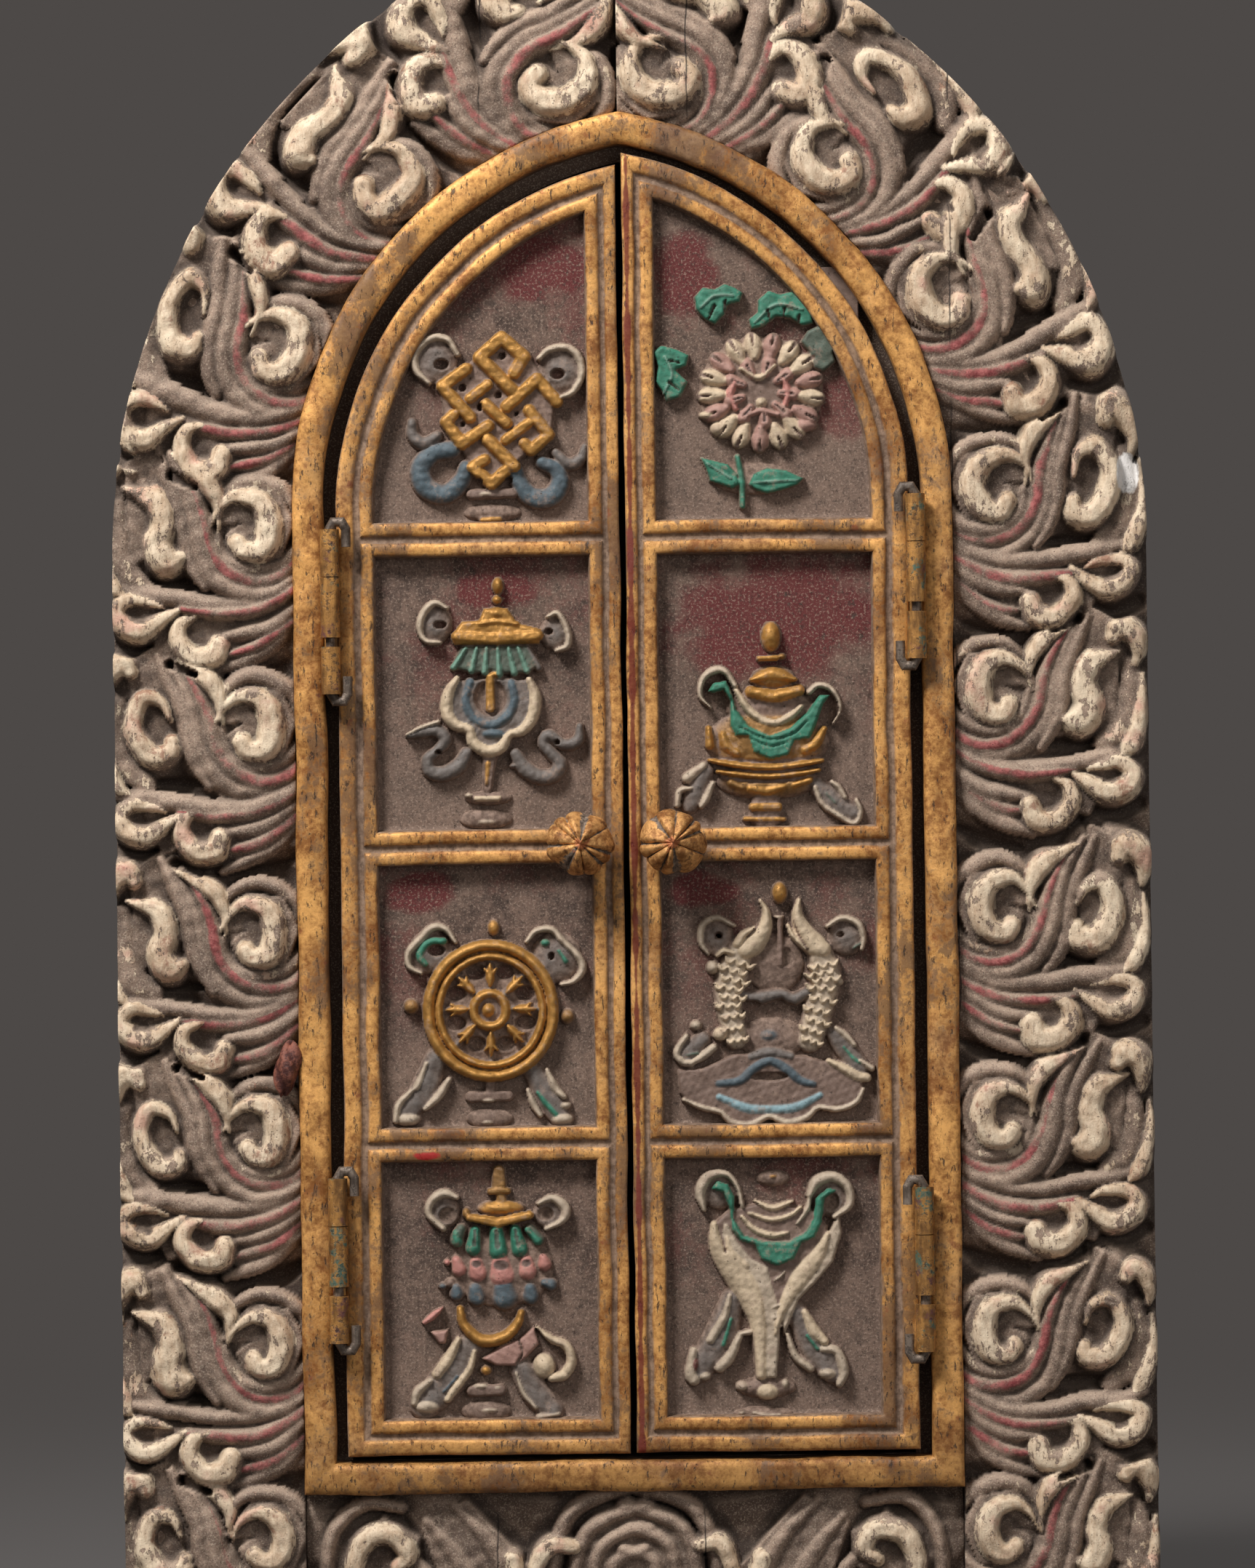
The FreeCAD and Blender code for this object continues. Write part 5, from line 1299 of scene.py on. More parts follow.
# The bodies of the two fishes as rows of x, z and width, from head to tail
LEFT_BODY = [(-11.054, 14.739, 4.569), (-13.117, 7.369, 4.422), (-13.854, 0, 3.832),
             (-12.159, -10.317, 3.242)]
RIGHT_BODY = [(15.107, 13.265, 4.569), (16.212, 7.369, 4.422), (14.296, -2.211, 4.127),
              (11.791, -10.685, 3.39)]


def scales(body):
    """Rows of three scales at nine places along a body, given as (x, z, width) rows. Each
    scale is an arch that opens towards the head, and every other row is shifted."""
    share = np.linspace(0, 3, 9)
    spots = np.column_stack([np.interp(share, np.arange(4), part) for part in np.transpose(body)])
    along = np.gradient(spots[:, :2], axis=0)
    along /= np.hypot(*along.T)[:, None]
    text = ""
    for number, (spot, way) in enumerate(zip(spots, along)):
        beside = np.array([way[1], -way[0]])
        half = spot[2] * 0.324
        for place in np.arange(-1, 2) + (0.25 if number % 2 else -0.25):
            middle = spot[:2] + beside * place * spot[2] * 0.72
            text += stroke_text("ridge", "cream", 5.3, (*(middle - beside * half), 0.4),
                                (*(middle + way * half), 0.9), (*(middle + beside * half), 0.4))
    return text


# Each emblem: its middle on the leaf, across and up, and its strokes in order. What does not
# repeat in them is drawn stroke by stroke, as Emblem.draw and strokes_of explain.
# Strokes in dark paint are painted shade for the hollows and holes of the pierced work
KNOT = (-41.8, 401.1, """
patch dust 3 1.9,26.5 11.1,18.6 19,8.8 17.7,-5.3 11.1,-10.6 4.9,-15.9 -1.8,-21.7 -8.4,-15.5
  -16.8,-1.8 -18.1,9.7 -9.3,17.2;
mound grey 3.2 -19.5,18.3,7.3,7.6;
mound grey 3.2 20.6,14.6,7.4,7.4;
ridge pale 4.6 -12.1,20.3,0.9 -15.5,25.2,1.2 -20.8,25.5,1.4 -25.6,21.1,1.5 -25.4,15.5,1.3
  -21.5,11.3,0.8;
ridge pale 4.6 13.7,18.8,0.9 17.2,21.6,1.2 22.6,22.1,1.3 26.4,18.8,1.4 27.3,13.4,1.3 24.3,8,1.1
  20.3,6.2,0.7;
sink dark -0.5 -17.4,17.2,2.4,1.8;
sink dark -0.5 19.5,13.7,2.3,1.8;
ridge grey 4 -27,-1.1,1.5 -26.8,-5.1,1.9 -23.4,-7.8,2.1 -19,-5.5,1.6;
ridge blue 4.2 -14.4,-9.9,2.7 -20.3,-10.8,2.8 -24.5,-15.9,3.2 -22.6,-22.1,3.2 -16.4,-23.9,3
  -11.5,-19.9,2.7 -10.2,-15.5,2.1;
ridge blue 4.2 5.7,-16.8,2.3 7.1,-20.8,2.7 10.6,-25.2,3 16.4,-25.5,3.1 19.7,-21.7,2.9 19,-17,2.5
  14.2,-14.3,2.1;
ridge grey 3.8 18.6,-11.3,1.5 22.6,-14.9,2 26.6,-13.3,1.9 27.9,-9.6,1.3;
bar dust 3.4 -8.4,-24.3,1.8 4.9,-23.9,1.8;
mound pale 4 -4,-24.1,3.5,1.1;
mound dust 2.4 -1.8,-30.1,9.3,3;
bar gold 3.4 -5,-32.5,1 0.6,-32.3,1;
bar gold 5 5.7,14.2,2.3 8.9,19.3,2.4;
bar gold 5.2 8.9,19.3,2.4 1.9,25.5,2.4 -5.2,19.3,2.4;
bar gold 5.6 -5.2,19.3,2.4 4.9,8.8,2.4;
bar gold 5.2 -8.4,6.2,1.9 -2.7,10.6,1.9;
bar gold 5.4 3.1,3.4,2.2 13,12.2,2.2;
bar gold 5 13,12.2,2.2 19.2,4.9,2.2;
bar gold 5.2 -9.5,15.7,2.2 -17.2,10.2,2.2;
bar gold 5.5 -17.2,10.2,2.2 -8.4,0.2,2.2;
bar gold 5.3 -3.5,4.4,2.1 3.1,-1.8,2.1;
bar gold 5 -13.7,1.1,2.1 -16.2,-1.1,2.1;
bar gold 5.2 -16.2,-1.1,2.1 -11.2,-8.1,2.3;
bar gold 5.5 -11.2,-8.1,2.3 -2.7,-2.5,2.1;
bar gold 5.2 2.7,-7.1,1.9 10.2,-1.8,1.9;
bar gold 5.4 10.3,2.2,2.1 16.5,-5.5,2.1;
bar gold 5.2 16.5,-5.5,2.1 10.9,-10.6,2.1 8.6,-8.1,1.9;
bar gold 5.6 -2.9,-6.9,2.3 5.4,-15.6,2.2;
bar gold 5.1 -4,-13.3,2.1 -7.9,-15.6,2.1;
bar gold 5.2 -7.9,-15.6,2.1 -1.9,-20.9,2.3 2.7,-16.8,2.1;
sink dark -0.5 1.9,19.8,1.3,1.2;
sink dark -0.5 -10.8,9.7,1.3,1.2;
sink dark -0.5 0.6,7.3,1.2,1.2;
sink dark -0.5 -10.8,-1.8,0.9,0.8;
sink dark -0.5 -5.3,3.4,0.8,1.2;
sink dark -0.5 6.2,1.3,0.8,0.7;
sink dark -0.5 -6.2,-20.3,1.5,1.3;
sink dark -0.5 3.6,-19.9,1.3,1.1
""")
LOTUS = (40.5, 407.3, """
patch green 4.2 -19.1,31.5 -16.2,34.7 -12.5,34 -9.3,35.8 -5.9,34.5 -3.2,32.7 -4.4,29.6 -8.3,28.6
  -9.3,25.6 -12.5,22.4 -16,24.2 -18.6,27.3;
patch green 4.2 1,30.3 4.7,33.4 8.3,32.2 12.3,33 16.2,30.7 18.6,26.6 19.1,22.4 15.2,21.7 11.3,24.2
  7.1,24.7 2.9,21.5 -1,20.7 -2,24.1 1,26.4;
patch green 4.2 -32.8,14.3 -29.6,16.4 -24.7,15.1 -20.6,13.1 -21.6,9.4 -24.7,8.2 -21.1,4.5
  -23.5,-0.4 -28.4,-2.1 -29.6,1.2 -32.1,4.5 -31,9.4;
patch moss 4 16.9,20.5 21.8,22.6 27.4,20 28.6,16 25.3,13.1 26,10.2 21.8,6.8 18.6,8.2 17.4,13.1
  14.5,16.8;
patch green 4 -18.1,-19.2 -13.7,-20.4 -8.8,-21.7 -5.9,-24.9 -5.1,-28.5 -7.6,-30 -11.3,-28.6
  -14.9,-27.5 -16,-23.6;
patch green 4 -2.7,-28.5 -1,-24.9 3.4,-23 9.6,-23.8 15.7,-26.6 13.2,-29 8.3,-30.6 3.4,-31.7 -0.2,-30.6;
ridge green 3.6 -5.9,-19.6,1 -4.6,-27,1.2 -4.4,-35.4,1;
ridge jade 4.9 -17,28,0.5 -12.6,31.6,0.8 -6.5,31.8,0.5;
ridge jade 4.9 0,23,0.5 7,28.6,0.8 15.5,27,0.5;
ridge jade 4.9 -29,1,0.5 -26.4,7,0.7 -28.6,12.8,0.5;
ridge jade 4.7 -15.6,-21.6,0.4 -8,-26.4,0.7;
ridge jade 4.7 13,-27.2,0.4 5,-27.6,0.7 -1,-28,0.4;
sink moss 2.6 -14.4,24.4,0.3 -12.6,28.4,0.6;
sink moss 2.6 -9.6,26.8,0.3 -9,30,0.5;
sink moss 2.6 9.3,24.6,0.3 9.6,27.4,0.6;
sink moss 2.6 5,24,0.3 4.4,26.8,0.5;
sink moss 2.6 14,22.2,0.3 14.4,25,0.5;
sink moss 2.6 -24.4,2,0.3 -27.2,4.4,0.6;
sink moss 2.6 -24,10.6,0.3 -27,11.2,0.5;
mound dust 3.2 1.9,0.9,19.9,18.1;
""" + petals() + """
ridge cream 5 -4.4,8.4,0.7 1.3,5.5,1.2 6.2,9.2,0.7;
ridge pink 5 -6.6,4,1.1 -8,-0.2,1.6 -6.2,-4.4,0.9;
ridge pink 5 9,4.9,0.9 10.3,1.3,1.4 9.7,-3.1,0.9;
ridge rose 5 -3.4,-6.9,0.7 1.9,-5.1,1.2 7.1,-6.5,0.7;
mound cream 5.2 1.9,-2.5,2.3,2.1;
mound cream 4.8 -15.5,-6.2,2.8,1.6;
mound cream 4.8 -12.2,-10.6,2.5,2.7;
mound rose 4.8 15.6,-9.9,4.4,2.5;
sink dark -0.4 14.6,21.2,2.3,0.9;
mound dust 2.2 -0.9,-26.5,13.3,5.3
""")
BANNER = (-44.3, 311.1, """
mound grey 3.2 -17.9,24.7,5.5,6.6;
mound grey 3.2 20,21.2,4.9,5.6;
ridge pale 4.7 -14.1,29.6,0.7 -18.1,31.3,1.1 -21.7,28,1.3 -22.9,23.2,1.1 -21,19.3,0.9
  -16.4,18.7,0.6;
ridge pale 4.7 17.8,26.5,0.6 21.1,27.4,1 24.1,22.1,1.1 24.1,17.3,1.1 20.6,15.6,0.7;
sink dark -0.5 -16.4,24.3,2.1,1.3;
sink dark -0.5 18.1,21.7,1.4,1.1;
patch gold 4.8 -2.6,29.5 5.2,29.5 8.5,24.7 15.8,22.8 15.3,17.7 -12.2,17.7 -13.3,20.6 -9.6,25.4
  -4.1,25.8;
bar gold 5.8 -11.1,20.6,1.9 1.8,19.7,2.2 14.7,20.6,1.9;
ridge gold 5.6 -3.9,24.5,0.9 1.8,25.1,1.3 8.1,24.3,0.9;
mound gold 5.6 1.8,27.6,4.1,2.5;
mound gold 4.8 2.1,36.5,2,3.1;
mound gold 4.6 1.8,32.1,1.8,1.6;
patch moss 3.6 -9.9,17.7 11.8,17.7 15.5,10.7 11.4,8.5 4.1,8.3 -0.4,9.2 -5.5,8.5 -13.6,10.5;
ridge jade 4.7 -8.3,16.8,0.7 -12.3,10.7,1.1;
ridge jade 4.7 -4.9,16.8,0.7 -6.6,9.6,1.2;
ridge jade 4.7 -1.7,16.8,0.7 -2.3,9.1,1.3;
ridge jade 4.7 1.8,16.8,0.7 2.3,8.5,1.3;
ridge jade 4.7 5.2,16.8,0.7 7,8.8,1.3;
ridge jade 4.7 8.3,16.8,0.7 11.1,9.4,1.2;
ridge grey 3.8 11.4,16.8,0.7 14.8,10.2,1.2;
mound gold 4.2 0.7,8.3,2.8,1.3;
patch grey 3.2 -10.7,6.6 -14.7,1.5 -14.7,-5.2 -10.7,-8.8 -7,-9.6 -4.8,-14.7 -1.5,-16.6 2.9,-15.1
  4.8,-11.1 9.9,-9.9 13.6,-3.7 13.3,2.9 11.4,6.6 4.8,7.4 -4.1,7;
ridge blue 4.2 -7.1,5.9,1.6 -8.6,0,1.8 -6.3,-5.2,1.9 -0.7,-7.7,1.9 4.4,-5.2,1.9 7,0,1.8
  6.1,5.5,1.6;
mound blue 4.5 0,-10.5,5.2,2.2;
ridge cream 5.2 -11.2,7.2,1 -14,2.2,1.9 -14.5,-3.7,2.1 -11.8,-7.7,1.9 -7.6,-9,1.6 -6.4,-13.1,1.9
  -1.8,-16.1,2.1 2.9,-14.6,1.9 5.1,-10.8,1.3 9.2,-9.7,1.8 12.6,-5.2,2 13.5,1.5,1.9 11.7,6.6,1;
sink dust 1 -0.7,0.9,5.6,6.2;
bar gold 4.2 -0.7,7.4,1.5 -0.7,-2.4,1.6;
bar dust 3 -1.1,-17.3,2.5 -2,-28.2,1.5;
ridge gold 3.8 -1.7,-19.9,1.1 -2.3,-26.5,0.6;
mound dust 3.4 -1.7,-31,7.7,2.4;
bar cream 4.2 -5.4,-31.1,1 1.5,-31.1,1;
mound pale 3.8 -8,-30.1,1.5,1;
mound dust 2.6 -2.6,-37.7,8.7,3.4;
mound pale 3.3 -2.4,-38.6,4.1,1.4;
ridge grey 4.2 -27,-11.1,0.7 -22.5,-9.7,1.8 -17.7,-9.3,2.1 -15.3,-12.2,2.1 -17.8,-15.6,1.6
  -20.9,-18.4,1.9 -20.1,-22.1,2.2 -15.7,-23,2.4 -11.1,-20.6,2.4 -8.6,-16.6,1.9;
ridge pale 4.8 -27.6,-10.5,0.4 -22.5,-8.1,0.7 -17.3,-6.5,0.7;
sink dark 0.2 -20,-11.8,1.2,0.9;
sink dark 0.2 -17.5,-16.2,1,0.7;
ridge grey 4.2 27.6,-8.5,1.1 27,-13,1.8 22.5,-14.3,1.8 17.8,-11.1,1.8 15.8,-13.6,1.8
  18.8,-17.4,1.9 21.1,-20.3,2.2 19.2,-24,2.2 14.4,-24.3,2.4 9.8,-21.5,2.4 7,-16.9,1.8;
sink dark 0.4 20.4,-13.4,1,0.9;
mound grey 3.6 6.3,-20.8,1.3,0.9
""")
VASE = (43.8, 303.4, """
ridge grey 3.2 -20.6,-15.8,2.5 -23.6,-21.7,3.1 -25.8,-26.5,2.5;
ridge grey 3.2 14.7,-20.4,2.7 19.9,-25.4,3.4 26.2,-29.5,2.8;
ridge pale 4.2 -21.2,-13.8,1.3 -26.5,-17.8,1.8;
ridge pale 4.2 -25.4,-21,0.7 -29,-21.9,1.1 -29.8,-26.5,0.9;
ridge pale 4.2 -18.4,-19.5,0.9 -20.5,-24,1.4 -22.1,-26.8,0.9;
ridge pale 4.2 14.1,-21,0.8 16.4,-26.5,1 21,-30,1 26.5,-32.9,1 28.6,-29.1,0.9 27.3,-25.4,0.7;
ridge pale 4 19.5,-19.5,0.7 21.7,-21.4,1.1 23.6,-24.5,0.9;
ridge moss 3.6 17.7,-23.2,0.7 20.5,-26.2,0.7;
mound brass 5 -0.7,-6.3,19.7,11.1;
mound brass 4.6 -0.9,-19.2,16.4,5.7;
sink dust 3 -17.8,-0.4,0.4 -16.8,-5.5,0.5 -16.2,-9.9,0.4;
sink dust 3 15.8,-0.4,0.4 15.5,-5.5,0.5 14.7,-9.9,0.4;
ridge gold 5.5 -19.5,-2,1 -19.2,-7.4,1.5;
ridge gold 5.6 -15,-4.1,1.2 -14,-7.4,1.9 -10.7,-9.8,1.6;
ridge gold 5.6 17.3,-2.6,1 14.4,-7.1,1.9 11.1,-9.4,1.6;
sink dust 3.6 -19.9,-10.8,0.6 -9.6,-12.2,0.6 -0.7,-13,0.6 8.1,-12.3,0.6 16.9,-11.1,0.6;
ridge gold 5.9 -19.3,-12.2,0.7 -10.3,-13.9,1.2 -0.7,-14.7,1.3 8.8,-13.9,1.2 16.6,-12.7,0.7;
sink dust 3.6 -18.1,-14.1,0.5 -0.7,-16.3,0.6 15.8,-14.2,0.5;
ridge gold 5.6 -16.8,-15.8,0.7 -8.8,-16.9,1 -0.7,-17.5,1 7.4,-16.9,1 15.5,-15.7,0.7;
sink dust 3.2 -16.2,-17.9,0.5 -0.7,-19.2,0.7 14.7,-17.8,0.5;
ridge gold 5 -6.6,-21.3,1.5 -0.7,-21.9,1.9 4.4,-20.7,1.3;
ridge gold 4.8 7.4,-20.4,1.3 12.5,-18.8,1.1;
ridge brass 4.6 -12.5,-19.5,1.5 -8.8,-21.1,1.2;
bar dust 3 -1.5,-23.2,4.4 -1.6,-29.5,5.7;
bar gold 4.4 -5.7,-27.2,1.5 2.4,-27.2,1.5;
bar gold 3.6 -8.3,-31,0.9 4.1,-31.2,0.9;
mound dust 3.6 0,4.1,14,6.6;
mound brass 5 1.2,13.6,7.2,4.3;
ridge gold 5.8 -5.7,13.2,0.7 1.1,14.7,2.5 8.3,13.2,0.7;
sink dust 3.8 -6.6,11.7,0.4 1.5,10.5,0.5 9.9,11.7,0.4;
ridge gold 6 -5.9,9.5,1.8 1.5,8,2.2 9.4,9.8,1.8;
bar gold 4.8 -3.1,20,1 2.4,20.1,1;
mound brass 4.4 4.1,20.6,1.5,1.2;
mound gold 5.4 0.7,27,3.4,5.2;
ridge pale 5 -18.7,4.5,0.4 -22,8.3,0.8 -21.2,13.6,1 -17.5,16.4,1.3 -14,16,1.1 -10.9,11.4,0.9;
ridge cream 5.4 -10.5,9.9,0.9 -7.2,4.4,1.3 -2.9,0.7,1.4 2.2,-0.5,1.4 7,1.8,1.3 10,4.6,0.7;
ridge pale 5 12.7,9.1,1 15.6,11.3,1 19.5,10.1,1 22.1,6.3,0.7 22.3,2.6,0.4 20.3,-0.8,0.4;
patch green 5.9 -19.9,9.5 -18,12.5 -13.6,13.3 -11.8,9.2 -10.6,4.1 -6.6,-1.1 0,-4.1 6.6,-1.8
  11.8,2.9 15.8,8.3 19.7,8.3 17.3,5.2 15,-1.1 12.9,-5.7 8.1,-6.6 6,-11.1 0,-12.5 -5.5,-10.1
  -7.2,-4.8 -11.1,-4.9 -12.8,-1.1 -12.5,6.3 -14.7,9.9 -17.7,9.1;
sink green 5.2 -9.6,-1.8,0.3 -0.7,-5.7,0.4 7.4,-4.1,0.4 11.8,0,0.3;
sink green 5.2 -5.9,-5.7,0.3 0,-7.9,0.4 5.2,-6.9,0.3
""")
WHEEL = (-46.3, 208.4, """
mound grey 3.2 -19,22.8,7.2,7.1;
mound grey 3.2 21.2,20.6,8.3,8.3;
ridge pale 4.5 -10.8,25.9,0.7 -13.9,30.2,1.1 -18.1,30.7,1.3 -22.5,26.5,1.3 -25.9,22.7,1.1
  -25.5,18.3,1 -21.8,16.2,0.6;
ridge green 4 -14.6,26.4,1.3 -19.6,25.9,1.5 -22.3,22.1,1.5 -20.5,19.2,1.1;
sink dark -0.5 -16.9,23.4,2.7,2;
ridge pale 4.5 11.8,25.8,0.7 14.9,29.2,1 19.9,29.6,1.1 23.1,26.1,1.1 27.6,21.7,1.2 29.6,17.2,1.3
  27,13.3,1 22.8,12.1,0.7;
mound green 4 17.8,25.4,1.9,1.6;
ridge green 3.8 22,22.8,0.7 24.2,19.5,1;
sink dark -0.5 19.7,21.1,1,1.2;
ridge grey 3.4 -17.7,-11.1,3.2 -21.4,-20.6,4 -26.9,-28,3.4;
ridge grey 3.4 14,-16.2,3.2 18.4,-24.3,3.8 22.5,-31.3,3.1;
ridge pale 4.3 -20.5,-12.4,0.7 -23.4,-19.3,1.3 -24.5,-20.6,0.7;
ridge pale 4.3 -25.4,-21.2,0.9 -29.6,-25.8,1.3 -30.5,-30.8,1;
ridge pale 4.3 -13.4,-17.7,0.9 -16.7,-22.8,1.5 -21.1,-27,0.9;
mound pale 4.4 -26.8,-30.1,4.6,2.7;
ridge pale 4.3 17.8,-15,0.7 20.2,-20.6,1.5 23.1,-23.7,1;
ridge pale 4.3 11.6,-21.4,0.7 13.4,-26.2,1.2 15.5,-29.5,0.9;
mound pale 4.3 22.3,-30.7,4.1,2.5;
mound pale 4.3 23.6,-26.5,2.2,1.6;
ridge green 3.9 14.7,-22.1,0.7 17.5,-25.8,1.3 20.5,-29.2,1.2;
bar dust 3 -6.6,-23.4,1.9 5.5,-23.1,1.9;
mound pale 3.7 -1,-24.5,3.2,1;
bar dust 2.6 -0.3,-19.2,1.9 -0.3,-22.1,1.9;
mound dust 2.6 -0.6,-30.4,7.7,3.4;
mound pale 3.3 -1.3,-31.5,2.7,1;
mound dust 2.4 0.1,4.1,17.7,18.4;
""" + spokes() + ring(5.2, 0.1474, 3.9794, 16.5071, 17.3915, 1.3, 24)
         + ring(5.7, 0.1474, 3.9794, 19.897, 20.9287, 1.8, 24) + """
mound gold 4.2 1.3,30.5,2.1,2.8;
mound brass 4.2 -25.2,5.7,2.7,2.7;
mound brass 3.8 24.5,1.9,2.4,2.7;
mound dust 3.4 -0.1,4.3,7.1,7.2;
""" + ring(5.4, -0.1474, 4.2742, 5.1585, 5.3059, 1.5, 16) + """
mound gold 5.6 -0.6,4.3,2.5,2.8
""")
FISHES = (43.8, 212.8, """
mound grey 3 -17.7,22.1,5.6,6.2;
mound grey 3 23.6,21.7,6.2,6.2;
ridge pale 4.6 -12.1,25.6,0.6 -17.7,28.2,1 -22.3,25.9,1.2 -22.7,20.3,1 -20.6,16.8,0.6;
sink dark 0 -17.1,22.5,1.4,1.3;
ridge pale 4.6 17.4,25.1,0.7 22.1,27.6,1 27.1,25.9,1.2 28.9,21.7,1 28.4,17.7,0.7;
sink dark 0.6 21.7,22.4,1.2,0.9;
ridge moss 3.6 25.8,18.1,0.6 27.9,19.5,0.6;
mound dust 2.6 0.4,13.3,9.6,9.6;
mound dust 3 -0.7,-10.3,11.1,6.8;
ridge grey 3.8 -9.7,3.7,1.3 -4.4,2.6,2.1 2.6,3.7,1.5 6.6,2.1,1.9 11.5,4.7,1.5;
patch dust 3.4 -31,-19.9 -30.5,-27.3 -27.6,-31.3 -17.7,-33.3 -14,-37.2 -8.1,-38.5 -2.1,-35.2
  3.7,-37.7 10.3,-36.3 13.6,-32.6 24.3,-32.8 28.4,-28 28,-21.4 21.4,-19.2 10.3,-15.8 -11.8,-14.7
  -22.8,-19.2;
ridge sky 4 -17.7,-28.7,1.5 -8.8,-32.4,2.2 -1.5,-32.8,1.9 6.6,-32.3,2.2 14.4,-28.6,1.5;
ridge pale 4.4 -28.9,-29.5,0.7 -22.8,-32.1,1.1 -17.1,-33.6,1 -14,-36.7,1.3 -8.1,-38,1.6
  -1.9,-35.1,1.1 3.7,-37.3,1.6 10.3,-35.5,1.3 13.6,-32.4,1 19.9,-33.2,1.1 25.8,-31,1.1
  28.2,-26.8,0.7;
ridge blue 4.2 -17.8,-24.5,1.5 -11.1,-23.6,1.9 -6.6,-19.9,2.1 -1.5,-17.5,1.9 3.7,-20,2.1
  8.1,-23.7,1.9 12.5,-25.1,1.3;
sink dark 1.2 -1.5,-22.5,6.2,1.5;
ridge grey 4 -7.4,-16.2,1.5 -1.5,-14.7,1.9 5.2,-16.2,1.5;
mound blue 3.6 -1.5,-9.4,4.4,2.9;
mound dust 3.8 -1.5,-9.4,2.5,1.5;
sink dark -0.4 -6.5,-0.6,3.1,2.5;
sink dark -0.4 4.3,-1.8,3.4,2.8;
sink dark 0.6 4.4,15.5,2.4,3.2;
bar dust 3.2 2.4,28,0.9 2.4,13.3,1;
mound pale 3.6 2.1,28.3,1.9,0.6;
mound gold 4.6 2.4,36,2.7,3.8;
ridge pale 4.3 -10,17.7,3.6 -13.1,9.6,4.6 -14,0,4 -11.9,-10.3,3.4;
ridge pale 4.3 15.1,16.2,3.6 16.7,8.8,4.6 14.1,-2.2,4.3 11.6,-11.1,3.7;
""" + scales(LEFT_BODY) + scales(RIGHT_BODY) + """
ridge cream 5.7 -3.7,33.6,0.5 -1.9,29.6,1.3 -2.8,24.3,2.5 -5.9,19.9,3.4 -8.8,17.7,2.9;
ridge cream 5.6 -5.2,25.1,0.6 -9.2,22.8,1.3 -11.1,19.9,1.6;
sink dust 4.2 -8.1,22.1,0.4 -5.2,25.1,0.4 -3.7,28.7,0.3;
ridge cream 5.7 8.5,33.6,0.7 8,28.7,1.8 10,23.6,2.8 13.4,19.2,3.5 15.8,17.7,2.7;
ridge cream 5.6 4.9,25.6,0.6 6.6,22.1,1 10.3,18.4,1;
sink dust 4.4 6.6,27.3,0.2 8.5,22.1,0.4 11.2,17.7,0.4;
mound dust 5.9 -4.4,23.6,0.7,0.7;
mound dust 5.9 11.1,23.2,0.7,0.7;
mound pale 4.8 -19.2,12.5,2.2,2.5;
ridge cream 4.9 -17.7,16.2,0.7 -15.5,17.7,1 -12.5,16.9,0.7;
ridge pale 4.8 18.6,11.1,1.2 21.1,7.4,1.3;
mound cream 5 -16.9,-8.8,2.8,2.5;
mound pale 4 -24.8,-5.9,2.2,1.9;
ridge grey 3.4 -22.8,-10.3,2.5 -27.3,-14.7,3.2;
ridge pale 4.4 -27.9,-9.3,0.9 -31,-14.4,1.2 -29.3,-17.4,1.3 -26.4,-18,1.3;
ridge pale 4.4 -26.4,-18,1 -22.1,-15.3,1.5 -19.2,-13,1.3;
ridge moss 3.9 -27.6,-15.3,0.6 -24.3,-14.7,0.7;
ridge grey 3.4 19.2,-8.8,2.5 22.8,-14,3.2 27.3,-19.9,2.9;
ridge pale 4.2 19.7,-7.2,0.7 22.8,-9.7,1.2 25.6,-12.8,0.9;
ridge cream 4.6 17.3,-17.7,0.9 22.1,-20.3,1.6 26.5,-22.7,1.9 29.5,-23.3,1.5;
ridge pale 4.3 27.3,-17.7,0.7 31,-20.3,1.2;
ridge green 3.9 22.1,-13.3,0.6 25.1,-16.8,0.9 27.3,-18.4,0.7;
sink dark 0.4 -16.5,-12.9,1.6,1
""")
